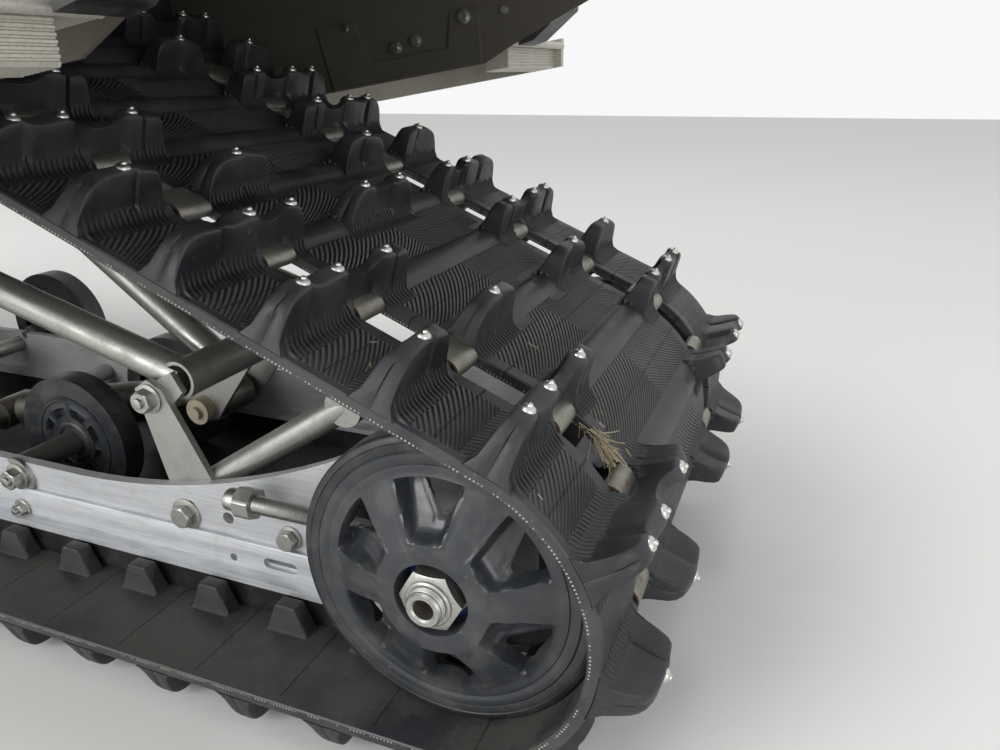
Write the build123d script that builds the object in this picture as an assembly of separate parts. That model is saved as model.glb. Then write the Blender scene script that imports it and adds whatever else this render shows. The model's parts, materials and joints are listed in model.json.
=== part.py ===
"""Rear track module of a snowmobile: tunnel, endless track, slide rails, arms, shocks and wheels.

X points forward, Y to the vehicle's left and Z up. Places are written from the rear axle's
centre, and the last step moves the whole module so that its origin is under its middle, on the floor.
"""
from build123d import *
import math
import os

# Track
TRACK_PITCH = 64.0
TRACK_PITCHES = 54
TRACK_WIDTH = 406.0
HALF_W = TRACK_WIDTH / 2
BELT_T = 7.0
LUG_H = 31.75
LUG_FOOT = 26.0
LUG_TIP = 12.0
HUMP_H = 4.5
ROW_SHIFT = 2.0
FIRST_ROW = -4
LANE_BACK = 83.0
LANE_Y = HALF_W - LANE_BACK
LANE_W = 24.0
CROSS_LUG_END_Y = LANE_Y - 41.0
SIDE_LUG_END_Y = LANE_Y - 75.0
ROD_L = 13.0
ROD_T = 6.4
CLIP_T = 1.9
CLIP_PLAY = 0.2
CLIP_W = 19.0
CLIP_TOP = 10.4
CLIP_BEVEL = 4.0
CLIP_FOOT = 0.3
BRIDGE_PLAY = 0.4
DRIVE_LUG_SINK = 0.5
DRIVE_LUG_H = 20.0
DRIVE_LUG_FOOT = 30.0
DRIVE_LUG_TIP = 18.0
DRIVE_LUG_W = 12.5

# Wheels
RUN_GAP = 0.3
REAR_WHEEL_D = 178.0
REAR_WHEEL_W = 22.0
REAR_WHEEL_FACE_Y = HALF_W - 24.5
REAR_HUB_FACE_Y = REAR_WHEEL_FACE_Y + 15.0
REAR_HUB_R = 30.0
REAR_RIM_IN_R = 66.0
REAR_WEB_BACK_Y = REAR_WHEEL_FACE_Y - 17.5
TYRE_T = 10.0
SPOKES = 6
FIRST_POCKET_DEG = 25.0
POCKET_IN_R = 33.0
POCKET_IN_HALF = 9.0
POCKET_OUT_R = 61.0
POCKET_OUT_HALF = 20.5
POCKET_FLOOR_IN_Y = REAR_WHEEL_FACE_Y + 8.5
POCKET_FLOOR_OUT_Y = REAR_WHEEL_FACE_Y - 14.5
WINDOW_IN_R = 42.0
WINDOW_TURN_DEG = 6.0
WINDOW_HALF_DEG = 11.0
BEARING_D = 46.0
BEARING_LOW_Y = REAR_WHEEL_FACE_Y - 18.5
BEARING_HIGH_Y = REAR_WHEEL_FACE_Y - 2.5
BEARING_PLAY = 0.05
SPIN_PLAY = 0.2
INNER_WHEEL_D = 114.0
INNER_WHEEL_W = 20.0
INNER_WHEEL_X = 404.0
INNER_WHEEL_Y = 58.0
INNER_BORE = 20.0
ROLLER_TYRE_T = 8.0
ROLLER_RIM_T = 8.0
ROLLER_HUB_T = 13.0
ROLLER_DISH = 5.0
CARRIER_D = 128.0
CARRIER_W = 22.0
CARRIER_X = 540.0
CARRIER_Y = 75.0
BOGIE_D = 128.0
BOGIE_X = 690.0
BOGIE_Y = HALF_W - 35.0
STUB_PAST = 16.0
DRIVE_TEETH = 8
DRIVE_Z = 235.0
DRIVE_SHAFT_D = 36.0
JOURNAL_D = 30.0
JOURNAL_L = 34.0
DRIVER_W = 11.0
DRIVER_PLAY = 2.0
PEG_W = 15.0
PEG_SINK = 8.0
PEG_PLAY = 0.6
PEG_TIP = 0.7
HOUSING_R = 46.0
HOUSING_L = 20.0

# Rails and slides
RAIL_Y = LANE_Y + 1.0
WEB_T = 8.0
FLANGE_W = 34.0
FLANGE_T = 5.0
SLIDE_T = 18.0
RAIL_TOP_Z = -22.0
RAIL_REAR_R = 34.0
RAIL_HEEL = 24.0
RAIL_DIP_X = 330.0
RAIL_DIP_MID = (200.0, -4.5)
RAIL_HORN = (95.0, 34.0)
RAIL_CREST = (40.0, 46.0)
RAIL_FLAT_X = 820.0
RAIL_BOW_START = 60.0
FLANGE_REAR_X = -4.0
SLIDE_REAR_X = 6.0
BOW_R = 300.0
BOW_SPAN = 34.0
BOW_DEPTH = 52.0
BOW_TOP_BACK = 3.0
SLIDE_BACK = 1.5
SLOPE_DEG = 23.0
ADJUST_BORE = (193.0, -30.0)
ADJUST_BORE_D = 9.0
SMALL_BORE = (190.0, -59.0)
SMALL_BORE_D = 5.0
RAIL_SLOT = (150.0, -55.0)
RAIL_SLOT_L = 20.0
RAIL_SLOT_H = 8.0
RAIL_PLATE = (398.0, -36.0)
RAIL_PLATE_R = 17.0
RAIL_PLATE_BITE = (414.0, -28.0)
RAIL_PLATE_BITE_R = 12.0
RAIL_PLATE_T = 3.0

# Axle and adjusters
AXLE_D = 22.0
AXLE_BORE = 12.0
AXLE_BORE_L = 30.0
AXLE_END_Y = HALF_W
SPACER_T = 5.0
NUT_AF = 32.0
NUT_H = 20.0
NUT_FLANGE_D = 36.0
NUT_FLANGE_T = 3.0
NUT_TURN_DEG = 15.0
ADJUSTER_X = 88.0
ADJUSTER_Y = RAIL_Y + 23.0
ADJUSTER_D = 12.0
ADJUSTER_START_X = 20.0
ADJUSTER_END_X = 172.0
ADJUSTER_PLATE_T = 10.0
ADJUSTER_PLATE_H = 24.0
ADJUSTER_PAST = 8.0
ADJUSTER_BLOCK_T = 7.0
ADJUSTER_BLOCK_H = 20.0
CAP_NUT_D = 19.0
CAP_NUT_L = 22.0

# Arms
CROSS_X = 238.0
CROSS_Z = 60.0
CROSS_D = 28.0
CROSS_HALF = RAIL_Y - 15.0
ARM_TUBE_D = 25.0
ARM_TUBE_Y = RAIL_Y - 24.0
ARM_PIVOT_X = 620.0
ARM_PIVOT_Z = 168.0
ARM_PIVOT_END = 18.0
SLEEVE_T = 4.0
CARRIER_SLEEVE_T = 5.0
CARRIER_SLEEVE_HALF = 45.0
BRACE_D = 22.0
LOW_BRACE_Y = 60.0
HIGH_BRACE_Y = 40.0
BRACE_TOP_Y = 35.0
EYE_PLATE_Y = 24.0
EYE_PLATE_T = 4.0
EYE_PIN_D = 10.0
EYE_PIN_HALF = 42.0
BUSHING_D = 22.0
BUSHING_L = 10.0
TUBE_WALL = 2.5
TURN_PLAY = 0.1
PIVOT_D = 20.0
LINK_Y = RAIL_Y - 6.8
LINK_T = 5.0
LINK_TOP = (256.0, 48.0)
LINK_FOOT = (226.0, -27.0)
LINK_REAR = (108.0, 56.0)
LINK_LEG_D = 20.0
LINK_BOSS_D = 27.0
LINK_BOSS_W = 20.0
LINK_BOSS_Y = RAIL_Y - 41.0
LINK_GAP = 0.3
# Corners of the arm's and the link's plates, from the points that they join
EYE_PLATE_TOP = [(-10.0, 0.0), (12.0, 6.0)]
EYE_PLATE_LOW = [(14.0, 4.0), (4.0, -14.0), (-12.0, -8.0)]
LINK_LUG_TOP = [(0.0, 8.0)]
LINK_LUG_LOW = [(12.0, 4.0), (8.0, -12.0), (-10.0, -10.0)]
LINK_LUG_BACK = [(-8.0, -6.0)]
LINK_SHEET_TOP = [(-12.0, 8.0), (0.0, 14.0), (12.0, 6.0)]
LINK_SHEET_LOW = [(22.0, 2.0), (10.0, -14.0), (-10.0, -14.0), (-22.0, 6.0)]
STOP_TUBE_D = 24.0
SHOCK_EYE = (292.0, 0.0)
SHOCK_FOOT = (566.0, -54.0)
SHOCK_BODY_D = 38.0
SHOCK_ROD_D = 14.0
SHOCK_NECK_D = 20.0
SHOCK_BODY_START = 80.0
SHOCK_BODY_BACK = 26.0
EYE_R = 15.0
EYE_HALF = 18.0
SHAFT_D = 18.0
FRONT_PIVOT = (1010.0, 205.0)
FRONT_FOOT = (800.0, -38.0)
FRONT_ARM_D = 25.0
FRONT_BAR_D = 21.0
FRONT_FOOT_Y = RAIL_Y - 47.0
FRONT_SLEEVE_HALF = FRONT_FOOT_Y + 16.0
FRONT_TOP_Y = RAIL_Y - 1.0
FRONT_SHOCK_FOOT = (700.0, -36.0)
FRONT_BODY_D = 42.0
COLLAR_D = 66.0
COLLAR_T = 6.0
FOOT_COLLAR = 28.0
SPRING_D = 58.0
SPRING_WIRE_D = 8.0
SPRING_TURNS = 6.5
SPRING_PLAY = 0.3

# Tunnel and running boards
TUNNEL_CLEARANCE = 21.0
TUNNEL_HALF = HALF_W + TUNNEL_CLEARANCE
SHEET_T = 2.5
TUNNEL_TOP_Z = 430.0
TUNNEL_LOW_Z = 220.0
TUNNEL_REAR_X = -70.0
TUNNEL_FRONT_PAST = 150.0
TUNNEL_HEEL_Z = 372.0
WALL_REAR = (112.0, 283.0)
WALL_CORNER = (140.0, 267.0)
WALL_BEND_X = 450.0
WALL_DROP_START = 190.0
WALL_DROP_END = 120.0
WALL_DROP = 90.0
WALL_FRONT_DROP = 20.0
BOARD_W = 165.0
BOARD_T = 3.0
BOARD_RISE = 9.0
BOARD_REAR_X = 118.0
BOARD_FRONT_BACK = 60.0
BOARD_FLAT_Z = 234.0
BOARD_RIM_T = 8.0
BOARD_RIM_UP = 6.0
BOARD_RIM_DOWN = 22.0
BOARD_FLANGE_UP = 24.0
BOARD_FLANGE_T = 3.0
BOARD_LIP_D = 7.0
BOARD_LIP_IN = 6.0
SLOT_STEP = 70.0
SLOT_L = 44.0
SLOT_IN = 26.0
SLOT_OUT = 30.0
BAR_X = 126.0
BAR_IN_Y = TUNNEL_HALF + 24.0
BAR_H = 19.0
BAR_L = 24.0
BUMPER_D = 22.0
BUMPER_FRONT = (110.0, 305.3)
BUMPER_REAR = (-150.0, 412.0)
BUMPER_BEND_R = 60.0
CAP_OUT_Y = TUNNEL_HALF + 40.0
# The end cap's lower corners, from the bumper's front end
CAP_LOW = (-2.0, -23.3)
CAP_STEP = (-16.0, -19.3)
CAP_FAR = (-46.0, 5.7)
COOLER_HALF = 150.0
COOLER_T = 14.0
COOLER_REAR_X = 140.0
COOLER_FRONT_BACK = 120.0
INNER_PLATE_T = 3.0
# The stiffening plate's corners, from the tunnel side's rear corner
INNER_PLATE = [
    (163.0, -24.0), (178.0, 33.0), (136.0, 39.0), (122.0, 1.0), (36.0, 14.0), (33.0, 43.0), (6.0, 47.0),
    (3.0, 1.0),
]
ARM_PLATE_T = 5.0
ARM_PLATE_TOP_Z = 260.0
ARM_PLATE_TOP_HALF = 60.0
ARM_PLATE_LOW_HALF = 18.0
ARM_PLATE_LOW = 16.0
BOLT_D = 9.0
MOUNT_SPAN_Y = 320.0
MOUNT_SPAN_Z = 120.0
MOUNT_Z = 325.0
SHAFT_REACH = 60.0

WHEEL_R = REAR_WHEEL_D / 2 + RUN_GAP
CARRIER_R = CARRIER_D / 2 + RUN_GAP
PITCH_OFF = BELT_T / 2
LOOP_LENGTH = TRACK_PITCH * TRACK_PITCHES
DRIVER_R = TRACK_PITCH * DRIVE_TEETH / (2 * math.pi) - PITCH_OFF
SLIDE_LOW_Z = RUN_GAP - WHEEL_R
FLANGE_LOW_Z = SLIDE_LOW_Z + SLIDE_T
INNER_WHEEL_Z = SLIDE_LOW_Z + INNER_WHEEL_D / 2
BOW_CENTRE = (RAIL_FLAT_X, BOW_R - WHEEL_R)
SLOPE = math.radians(SLOPE_DEG)
CARRIER_Z = (WHEEL_R - CARRIER_R + math.sin(SLOPE) * CARRIER_X) / math.cos(SLOPE)
LANE_IN = LANE_Y - LANE_W / 2
LANE_OUT = LANE_Y + LANE_W / 2
DRIVE_LUG_Y = RAIL_Y + FLANGE_W / 2 + DRIVE_LUG_W / 2 + DRIVER_PLAY
RAIL_IN = RAIL_Y - WEB_T / 2
RAIL_OUT = RAIL_Y + WEB_T / 2
WALL_OUT = TUNNEL_HALF + SHEET_T
BOARD_OUT = WALL_OUT + BOARD_W
BUMPER_Y = WALL_OUT + BUMPER_D / 2 + TURN_PLAY * 2
BOGIE_Z = SLIDE_LOW_Z + BOGIE_D / 2
FRONT_BAR = ((FRONT_FOOT[0] + FRONT_PIVOT[0]) / 2, (FRONT_FOOT[1] + FRONT_PIVOT[1]) / 2)


def about(point, offsets):
    """Points at their offsets from one point."""
    return [(point[0] + x, point[1] + z) for x, z in offsets]


# The belt's path round four circles
def belt_circles(drive_x):
    """Circles inside the belt, in the belt's order: x, z and radius at the rods."""
    return [
        (0.0, 0.0, WHEEL_R + PITCH_OFF),
        (BOW_CENTRE[0], BOW_CENTRE[1], BOW_R + PITCH_OFF),
        (drive_x, DRIVE_Z, DRIVER_R + PITCH_OFF),
        (CARRIER_X, CARRIER_Z, CARRIER_R + PITCH_OFF),
    ]


def belt_runs(circles):
    """Straight runs and arcs of the belt: each is a kind, a length, a start angle and a circle."""
    count = len(circles)
    normals = []
    spans = []
    for i, (x, z, r) in enumerate(circles):
        x2, z2, r2 = circles[(i + 1) % count]
        gap = math.hypot(x2 - x, z2 - z)
        normals.append(math.atan2(z2 - z, x2 - x) - math.acos((r - r2) / gap))
        spans.append(math.sqrt(gap * gap - (r - r2) ** 2))
    runs = []
    for i, circle in enumerate(circles):
        turn = (normals[i] - normals[i - 1]) % (2 * math.pi)
        runs.append(("arc", turn * circle[2], normals[i - 1], circle))
        runs.append(("line", spans[i], normals[i], circle))
    return runs


def find_drive_x():
    """The drive axle's place that makes the loop as long as all its pitches."""
    low = BOW_CENTRE[0] + BOW_R
    high = low + 1200.0
    for _ in range(60):
        middle = (low + high) / 2
        total = sum(run[1] for run in belt_runs(belt_circles(middle)))
        if total < LOOP_LENGTH:
            low = middle
        else:
            high = middle
    return (low + high) / 2


DRIVE_X = find_drive_x()
RUNS = belt_runs(belt_circles(DRIVE_X))
TUNNEL_FRONT_X = DRIVE_X + TUNNEL_FRONT_PAST


def belt_frame(s):
    """The rods' line at distance s: x, z and the outward normal's angle."""
    s = s % LOOP_LENGTH
    for kind, length, angle, (x, z, r) in RUNS:
        if s <= length:
            break
        s -= length
    if kind == "arc":
        angle += s / r
        s = 0.0
    nx, nz = math.cos(angle), math.sin(angle)
    return x + r * nx - s * nz, z + r * nz + s * nx, angle


def belt_point(s, off, along=0.0):
    """A point off the belt's inner face at distance s, moved along the belt's direction there."""
    x, z, angle = belt_frame(s)
    nx, nz = math.cos(angle), math.sin(angle)
    out = off - PITCH_OFF
    return (x + out * nx - along * nz, z + out * nz + along * nx)


def row_s(k):
    """Distance of lug row k along the belt."""
    return ROW_SHIFT + (FIRST_ROW + k) * TRACK_PITCH


# Row kinds in their order along the belt: side = separate lugs, cross = one lug over each lane
ROW_KINDS = ["side", "centre", "cross", "side", "cross", "cross"]


def row_kind(k):
    return ROW_KINDS[k % len(ROW_KINDS)]


# Small helpers
def wire_of(points, arcs=None):
    """Closed outline in the XZ plane. arcs maps a side's start index to a point on its arc."""
    arcs = arcs or {}
    edges = []
    for i, a in enumerate(points):
        b = points[(i + 1) % len(points)]
        a3, b3 = (a[0], 0, a[1]), (b[0], 0, b[1])
        if i in arcs:
            m = arcs[i]
            edges.append(ThreePointArc(a3, (m[0], 0, m[1]), b3))
        else:
            edges.append(Line(a3, b3))
    return edges


def slab(points, y_low, y_high, arcs=None):
    """An XZ outline made solid between two Y planes."""
    face = make_face(wire_of(points, arcs))
    solid = extrude(face, amount=y_high - y_low, dir=(0, 1, 0))
    return Pos(0, y_low, 0) * solid


def disc(radius, x, z, y_low, y_high):
    """A solid disc about an axis along Y."""
    middle = (y_low + y_high) / 2
    return Pos(x, middle, z) * Rot(90, 0, 0) * Cylinder(radius, y_high - y_low)


def ring(outer, inner, x, z, y_low, y_high):
    """A ring about an axis along Y."""
    return disc(outer, x, z, y_low, y_high) - disc(inner, x, z, y_low - 1, y_high + 1)


def rod(a, b, diameter):
    """A solid bar between two points."""
    start, end = Vector(*a), Vector(*b)
    plane = Plane(origin=start, z_dir=end - start)
    length = (end - start).length
    return plane * Cylinder(diameter / 2, length, align=(Align.CENTER, Align.CENTER, Align.MIN))


def tube(a, b, diameter, wall=TUBE_WALL):
    """A hollow tube between two points."""
    start, end = Vector(*a), Vector(*b)
    reach = (end - start).normalized()
    bore = rod(tuple(start - reach), tuple(end + reach), diameter - 2 * wall)
    return rod(a, b, diameter) - bore


def hexagon(across_flats, x, z, y_low, y_high):
    """A hexagonal prism about an axis along Y."""
    radius = across_flats / math.sqrt(3)
    points = []
    for i in range(6):
        turn = math.radians(60 * i + NUT_TURN_DEG)
        points.append((x + radius * math.cos(turn), z + radius * math.sin(turn)))
    return slab(points, y_low, y_high)


def box(x_low, x_high, y_low, y_high, z_low, z_high):
    size = (x_high - x_low, y_high - y_low, z_high - z_low)
    middle = ((x_low + x_high) / 2, (y_low + y_high) / 2, (z_low + z_high) / 2)
    return Pos(*middle) * Box(*size)


def mirrored(solid):
    """The same piece on the right side."""
    return mirror(solid, about=Plane.XZ)


def as_part(shapes):
    """Solids that share a node without touching."""
    return Compound(children=[s for shape in shapes for s in shape.solids()])


# Track: belt bands, rods, lugs and drive lugs
def lug_points(s, height, base_off=BELT_T):
    """Foot, two tip corners and foot of a lug on row place s."""
    foot_half = LUG_FOOT / 2
    tip_half = LUG_TIP / 2
    return [
        belt_point(s, base_off, -foot_half),
        belt_point(s, BELT_T + height, -tip_half),
        belt_point(s, BELT_T + height, tip_half),
        belt_point(s, base_off, foot_half),
    ]


def band(y_low, y_high, height_of):
    """A belt band from y_low to y_high whose rows stand height_of(row) high."""
    points = []
    arcs = {}
    for k in range(TRACK_PITCHES):
        points += lug_points(row_s(k), height_of(k))
        start, end = row_s(k) + LUG_FOOT / 2, row_s(k + 1) - LUG_FOOT / 2
        turn = belt_frame(end)[2] - belt_frame(start)[2]
        if abs(math.sin(turn)) > 0.01:
            arcs[len(points) - 1] = belt_point((start + end) / 2, BELT_T)
    outer = make_face(wire_of(points, arcs))
    inner_points = []
    inner_arcs = {}
    s = 0.0
    for kind, length, _, _ in RUNS:
        if kind == "arc":
            inner_arcs[len(inner_points)] = belt_point(s + length / 2, 0)
        inner_points.append(belt_point(s, 0))
        s += length
    inner = make_face(wire_of(inner_points, inner_arcs))
    solid = extrude(outer - inner, amount=y_high - y_low, dir=(0, 1, 0))
    return Pos(0, y_low, 0) * solid


def lane_blocks(k):
    """What crosses one window lane at row k: the rod, and the web of a cross lug over its clip."""
    s = row_s(k)
    low = (BELT_T - ROD_T) / 2
    corners = [
        belt_point(s, low, -ROD_L / 2), belt_point(s, low + ROD_T, -ROD_L / 2),
        belt_point(s, low + ROD_T, ROD_L / 2), belt_point(s, low, ROD_L / 2),
    ]
    blocks = [slab(corners, LANE_IN, LANE_OUT)]
    if row_kind(k) != "side":
        base = CLIP_TOP + BRIDGE_PLAY
        blocks.append(slab(lug_points(s, LUG_H, base), LANE_IN, LANE_OUT))
    return blocks


def drive_lug(k):
    """A lug inside the belt that the drivers push on."""
    s = row_s(k)
    foot, tip = DRIVE_LUG_FOOT / 2, DRIVE_LUG_TIP / 2
    points = [
        belt_point(s, DRIVE_LUG_SINK, -foot), belt_point(s, -DRIVE_LUG_H, -tip),
        belt_point(s, -DRIVE_LUG_H, tip), belt_point(s, DRIVE_LUG_SINK, foot),
    ]
    half = DRIVE_LUG_W / 2
    return slab(points, DRIVE_LUG_Y - half, DRIVE_LUG_Y + half)


def lug_where(kinds):
    """Height of each row in a band: a lug on rows of these kinds, and a low hump on the others."""
    return lambda k: LUG_H if row_kind(k) in kinds else HUMP_H


def make_track():
    # Bands on one side: low y, high y and the kinds of row that have a lug there
    bands = [
        (LANE_OUT, HALF_W, ("side", "centre", "cross")),
        (CROSS_LUG_END_Y, LANE_IN, ("side", "centre", "cross")),
        (SIDE_LUG_END_Y, CROSS_LUG_END_Y, ("side",)),
    ]
    side = [band(y_low, y_high, lug_where(kinds)) for y_low, y_high, kinds in bands]
    for k in range(TRACK_PITCHES):
        side += lane_blocks(k)
        side.append(drive_lug(k))
    middle = band(-SIDE_LUG_END_Y, SIDE_LUG_END_Y, lug_where(("centre",)))
    return middle + side + [mirrored(piece) for piece in side]


def make_clips():
    """Guide clips: folded steel over the rod in both window lanes."""
    clips = []
    inner, outer = ROD_L / 2 + CLIP_PLAY, ROD_L / 2 + CLIP_PLAY + CLIP_T
    rod_top = (BELT_T + ROD_T) / 2 + CLIP_PLAY
    shoulder = CLIP_TOP - CLIP_BEVEL
    crown = outer - CLIP_BEVEL
    # Outline points: distance off the belt's inner face, and along the belt
    outline = [
        (CLIP_FOOT, -outer), (shoulder, -outer), (CLIP_TOP, -crown), (CLIP_TOP, crown),
        (shoulder, outer), (CLIP_FOOT, outer), (CLIP_FOOT, inner), (rod_top, inner),
        (rod_top, -inner), (CLIP_FOOT, -inner),
    ]
    for k in range(TRACK_PITCHES):
        points = [belt_point(row_s(k), off, along) for off, along in outline]
        clip = slab(points, LANE_Y - CLIP_W / 2, LANE_Y + CLIP_W / 2)
        clips += [clip, mirrored(clip)]
    return as_part(clips)


# Rails and slides
def bow_point(radius, degrees):
    """A point on the front bow, degrees round from its lowest point."""
    turn = math.radians(degrees)
    return (BOW_CENTRE[0] + radius * math.sin(turn), BOW_CENTRE[1] - radius * math.cos(turn))


def make_rail():
    low_r = BOW_R - RUN_GAP - SLIDE_T
    top_r = low_r - BOW_DEPTH
    span_top = BOW_SPAN - BOW_TOP_BACK
    points = [
        (-RAIL_REAR_R, 0.0), (-RAIL_REAR_R, FLANGE_LOW_Z + RAIL_HEEL),
        (RAIL_HEEL - RAIL_REAR_R, FLANGE_LOW_Z), (RAIL_FLAT_X, FLANGE_LOW_Z),
        bow_point(low_r, BOW_SPAN), bow_point(top_r, span_top),
        (RAIL_FLAT_X, BOW_CENTRE[1] - top_r), (RAIL_FLAT_X - RAIL_BOW_START, RAIL_TOP_Z),
        (RAIL_DIP_X, RAIL_TOP_Z), RAIL_HORN, RAIL_CREST, (0.0, RAIL_REAR_R),
    ]
    rear_mid = RAIL_REAR_R * math.sqrt(0.5)
    arcs = {
        3: bow_point(low_r, BOW_SPAN / 2), 5: bow_point(top_r, span_top / 2),
        8: RAIL_DIP_MID, 11: (-rear_mid, rear_mid),
    }
    web = slab(points, RAIL_IN, RAIL_OUT, arcs)
    flange_points = [
        (FLANGE_REAR_X, FLANGE_LOW_Z), (RAIL_FLAT_X, FLANGE_LOW_Z), bow_point(low_r, BOW_SPAN),
        bow_point(low_r - FLANGE_T, BOW_SPAN), (RAIL_FLAT_X, FLANGE_LOW_Z + FLANGE_T),
        (FLANGE_REAR_X, FLANGE_LOW_Z + FLANGE_T),
    ]
    flange_arcs = {1: bow_point(low_r, BOW_SPAN / 2), 3: bow_point(low_r - FLANGE_T, BOW_SPAN / 2)}
    flange = slab(flange_points, RAIL_Y - FLANGE_W / 2, RAIL_Y + FLANGE_W / 2, flange_arcs)
    # Bores: centre and diameter
    bores = [
        ((0.0, 0.0), AXLE_D), (ADJUST_BORE, ADJUST_BORE_D), (SMALL_BORE, SMALL_BORE_D),
        (LINK_FOOT, BOLT_D), ((INNER_WHEEL_X, INNER_WHEEL_Z), BOLT_D), (SHOCK_FOOT, BOLT_D),
        (FRONT_FOOT, BOLT_D), (FRONT_SHOCK_FOOT, BOLT_D), ((BOGIE_X, BOGIE_Z), BOLT_D),
    ]
    cuts = [disc(d / 2, x, z, RAIL_IN - 1, RAIL_OUT + 1) for (x, z), d in bores]
    slot_x, slot_z = RAIL_SLOT
    half_l, half_h = RAIL_SLOT_L / 2, RAIL_SLOT_H / 2
    cuts.append(box(slot_x - half_l, slot_x + half_l, RAIL_IN - 1, RAIL_OUT + 1,
                    slot_z - half_h, slot_z + half_h))
    for end_x in (slot_x - half_l, slot_x + half_l):
        cuts.append(disc(half_h, end_x, slot_z, RAIL_IN - 1, RAIL_OUT + 1))
    return web + flange - cuts


def make_rail_plates():
    """Crescent plates behind the bolts of the inner wheels, on each rail's outer face."""
    high = RAIL_OUT + RAIL_PLATE_T
    plate = disc(RAIL_PLATE_R, *RAIL_PLATE, RAIL_OUT, high)
    plate -= disc(RAIL_PLATE_BITE_R, *RAIL_PLATE_BITE, RAIL_OUT - 1, high + 1)
    return as_part([plate, mirrored(plate)])


def make_slide():
    low_r = BOW_R - RUN_GAP
    span = BOW_SPAN - SLIDE_BACK
    points = [
        (SLIDE_REAR_X, SLIDE_LOW_Z), (RAIL_FLAT_X, SLIDE_LOW_Z), bow_point(low_r, span),
        bow_point(low_r - SLIDE_T, span), (RAIL_FLAT_X, FLANGE_LOW_Z),
        (SLIDE_REAR_X, FLANGE_LOW_Z),
    ]
    arcs = {1: bow_point(low_r, span / 2), 3: bow_point(low_r - SLIDE_T, span / 2)}
    return slab(points, RAIL_Y - FLANGE_W / 2, RAIL_Y + FLANGE_W / 2, arcs)


# Wheels
def turned(profile):
    """A solid turned round the Y axis from a closed profile of radius and y."""
    sides = []
    for i, (r, y) in enumerate(profile):
        r2, y2 = profile[(i + 1) % len(profile)]
        sides.append(Line((r, y, 0), (r2, y2, 0)))
    return revolve(make_face(sides), axis=Axis.Y)


def make_rear_wheel():
    """Moulded wheel: the hub stands out of the rim, with sloping pockets between flat spokes."""
    rim_r = REAR_WHEEL_D / 2 - TYRE_T
    rim_low = REAR_WHEEL_FACE_Y - REAR_WHEEL_W
    bore_r = BEARING_D / 2
    body = turned([
        (rim_r, rim_low), (rim_r, REAR_WHEEL_FACE_Y), (REAR_RIM_IN_R, REAR_WHEEL_FACE_Y),
        (REAR_HUB_R, REAR_HUB_FACE_Y), (bore_r, REAR_HUB_FACE_Y), (bore_r, BEARING_LOW_Y),
        (REAR_RIM_IN_R, REAR_WEB_BACK_Y), (REAR_RIM_IN_R + 1, rim_low),
    ])
    over = REAR_HUB_FACE_Y + 5
    above_floor = turned([
        (POCKET_IN_R - 8, POCKET_FLOOR_IN_Y + 6), (REAR_RIM_IN_R, POCKET_FLOOR_OUT_Y),
        (REAR_RIM_IN_R, over), (POCKET_IN_R - 8, over),
    ])
    pocket = slab([
        (POCKET_IN_R, -POCKET_IN_HALF), (POCKET_OUT_R, -POCKET_OUT_HALF),
        (POCKET_OUT_R + 3, 0.0), (POCKET_OUT_R, POCKET_OUT_HALF), (POCKET_IN_R, POCKET_IN_HALF),
    ], rim_low - 1, over) & above_floor
    out_half = POCKET_OUT_R * math.sin(math.radians(WINDOW_HALF_DEG))
    window = slab([
        (WINDOW_IN_R, -3.0), (POCKET_OUT_R, -out_half), (POCKET_OUT_R, out_half),
        (WINDOW_IN_R, 3.0),
    ], rim_low - 1, over)
    cuts = []
    for i in range(SPOKES):
        turn = -(FIRST_POCKET_DEG + i * 360.0 / SPOKES)
        cuts += [Rot(0, turn, 0) * pocket, Rot(0, turn - WINDOW_TURN_DEG, 0) * window]
    return body - cuts


def make_rear_tyre():
    outer = REAR_WHEEL_D / 2
    return ring(outer, outer - TYRE_T, 0, 0, REAR_WHEEL_FACE_Y - REAR_WHEEL_W, REAR_WHEEL_FACE_Y)


def make_rear_bearing():
    return ring(BEARING_D / 2, AXLE_D / 2 + BEARING_PLAY, 0, 0, BEARING_LOW_Y, BEARING_HIGH_Y)


def roller(diameter, width, x, z, y, bore_d):
    """Wheel and tyre of a plain roller, with a dished web on both faces."""
    half = width / 2
    tread_in = diameter / 2 - ROLLER_TYRE_T
    hub_r = bore_d / 2 + ROLLER_HUB_T
    wheel = ring(tread_in, bore_d / 2, x, z, y - half, y + half)
    wheel -= ring(tread_in - ROLLER_RIM_T, hub_r, x, z, y + half - ROLLER_DISH, y + half + 1)
    wheel -= ring(tread_in - ROLLER_RIM_T, hub_r, x, z, y - half - 1, y - half + ROLLER_DISH)
    tyre = ring(diameter / 2, tread_in, x, z, y - half, y + half)
    return wheel, tyre


# Rear axle
def make_axle():
    shaft = rod((0, -AXLE_END_Y, 0), (0, AXLE_END_Y, 0), AXLE_D)
    for side in (-1, 1):
        inner, outer = side * (AXLE_END_Y - AXLE_BORE_L), side * (AXLE_END_Y + 1)
        shaft -= rod((0, inner, 0), (0, outer, 0), AXLE_BORE)
    return shaft


def make_spacers():
    """Sleeves on the axle: between the rails, and from each rail to its wheel bearing."""
    outer_r = AXLE_D / 2 + SPACER_T
    middle = ring(outer_r, AXLE_D / 2, 0, 0, -RAIL_IN, RAIL_IN)
    outer = ring(outer_r, AXLE_D / 2, 0, 0, RAIL_OUT, BEARING_LOW_Y - SPIN_PLAY)
    return as_part([middle, outer, mirrored(outer)])


def make_axle_nuts():
    low = BEARING_HIGH_Y + SPIN_PLAY
    flange_high = low + NUT_FLANGE_T
    nut = disc(NUT_FLANGE_D / 2, 0, 0, low, flange_high)
    nut += hexagon(NUT_AF, 0, 0, flange_high, low + NUT_H)
    nut -= disc(AXLE_D / 2, 0, 0, low - 1, low + NUT_H + 1)
    return as_part([nut, mirrored(nut)])


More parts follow.
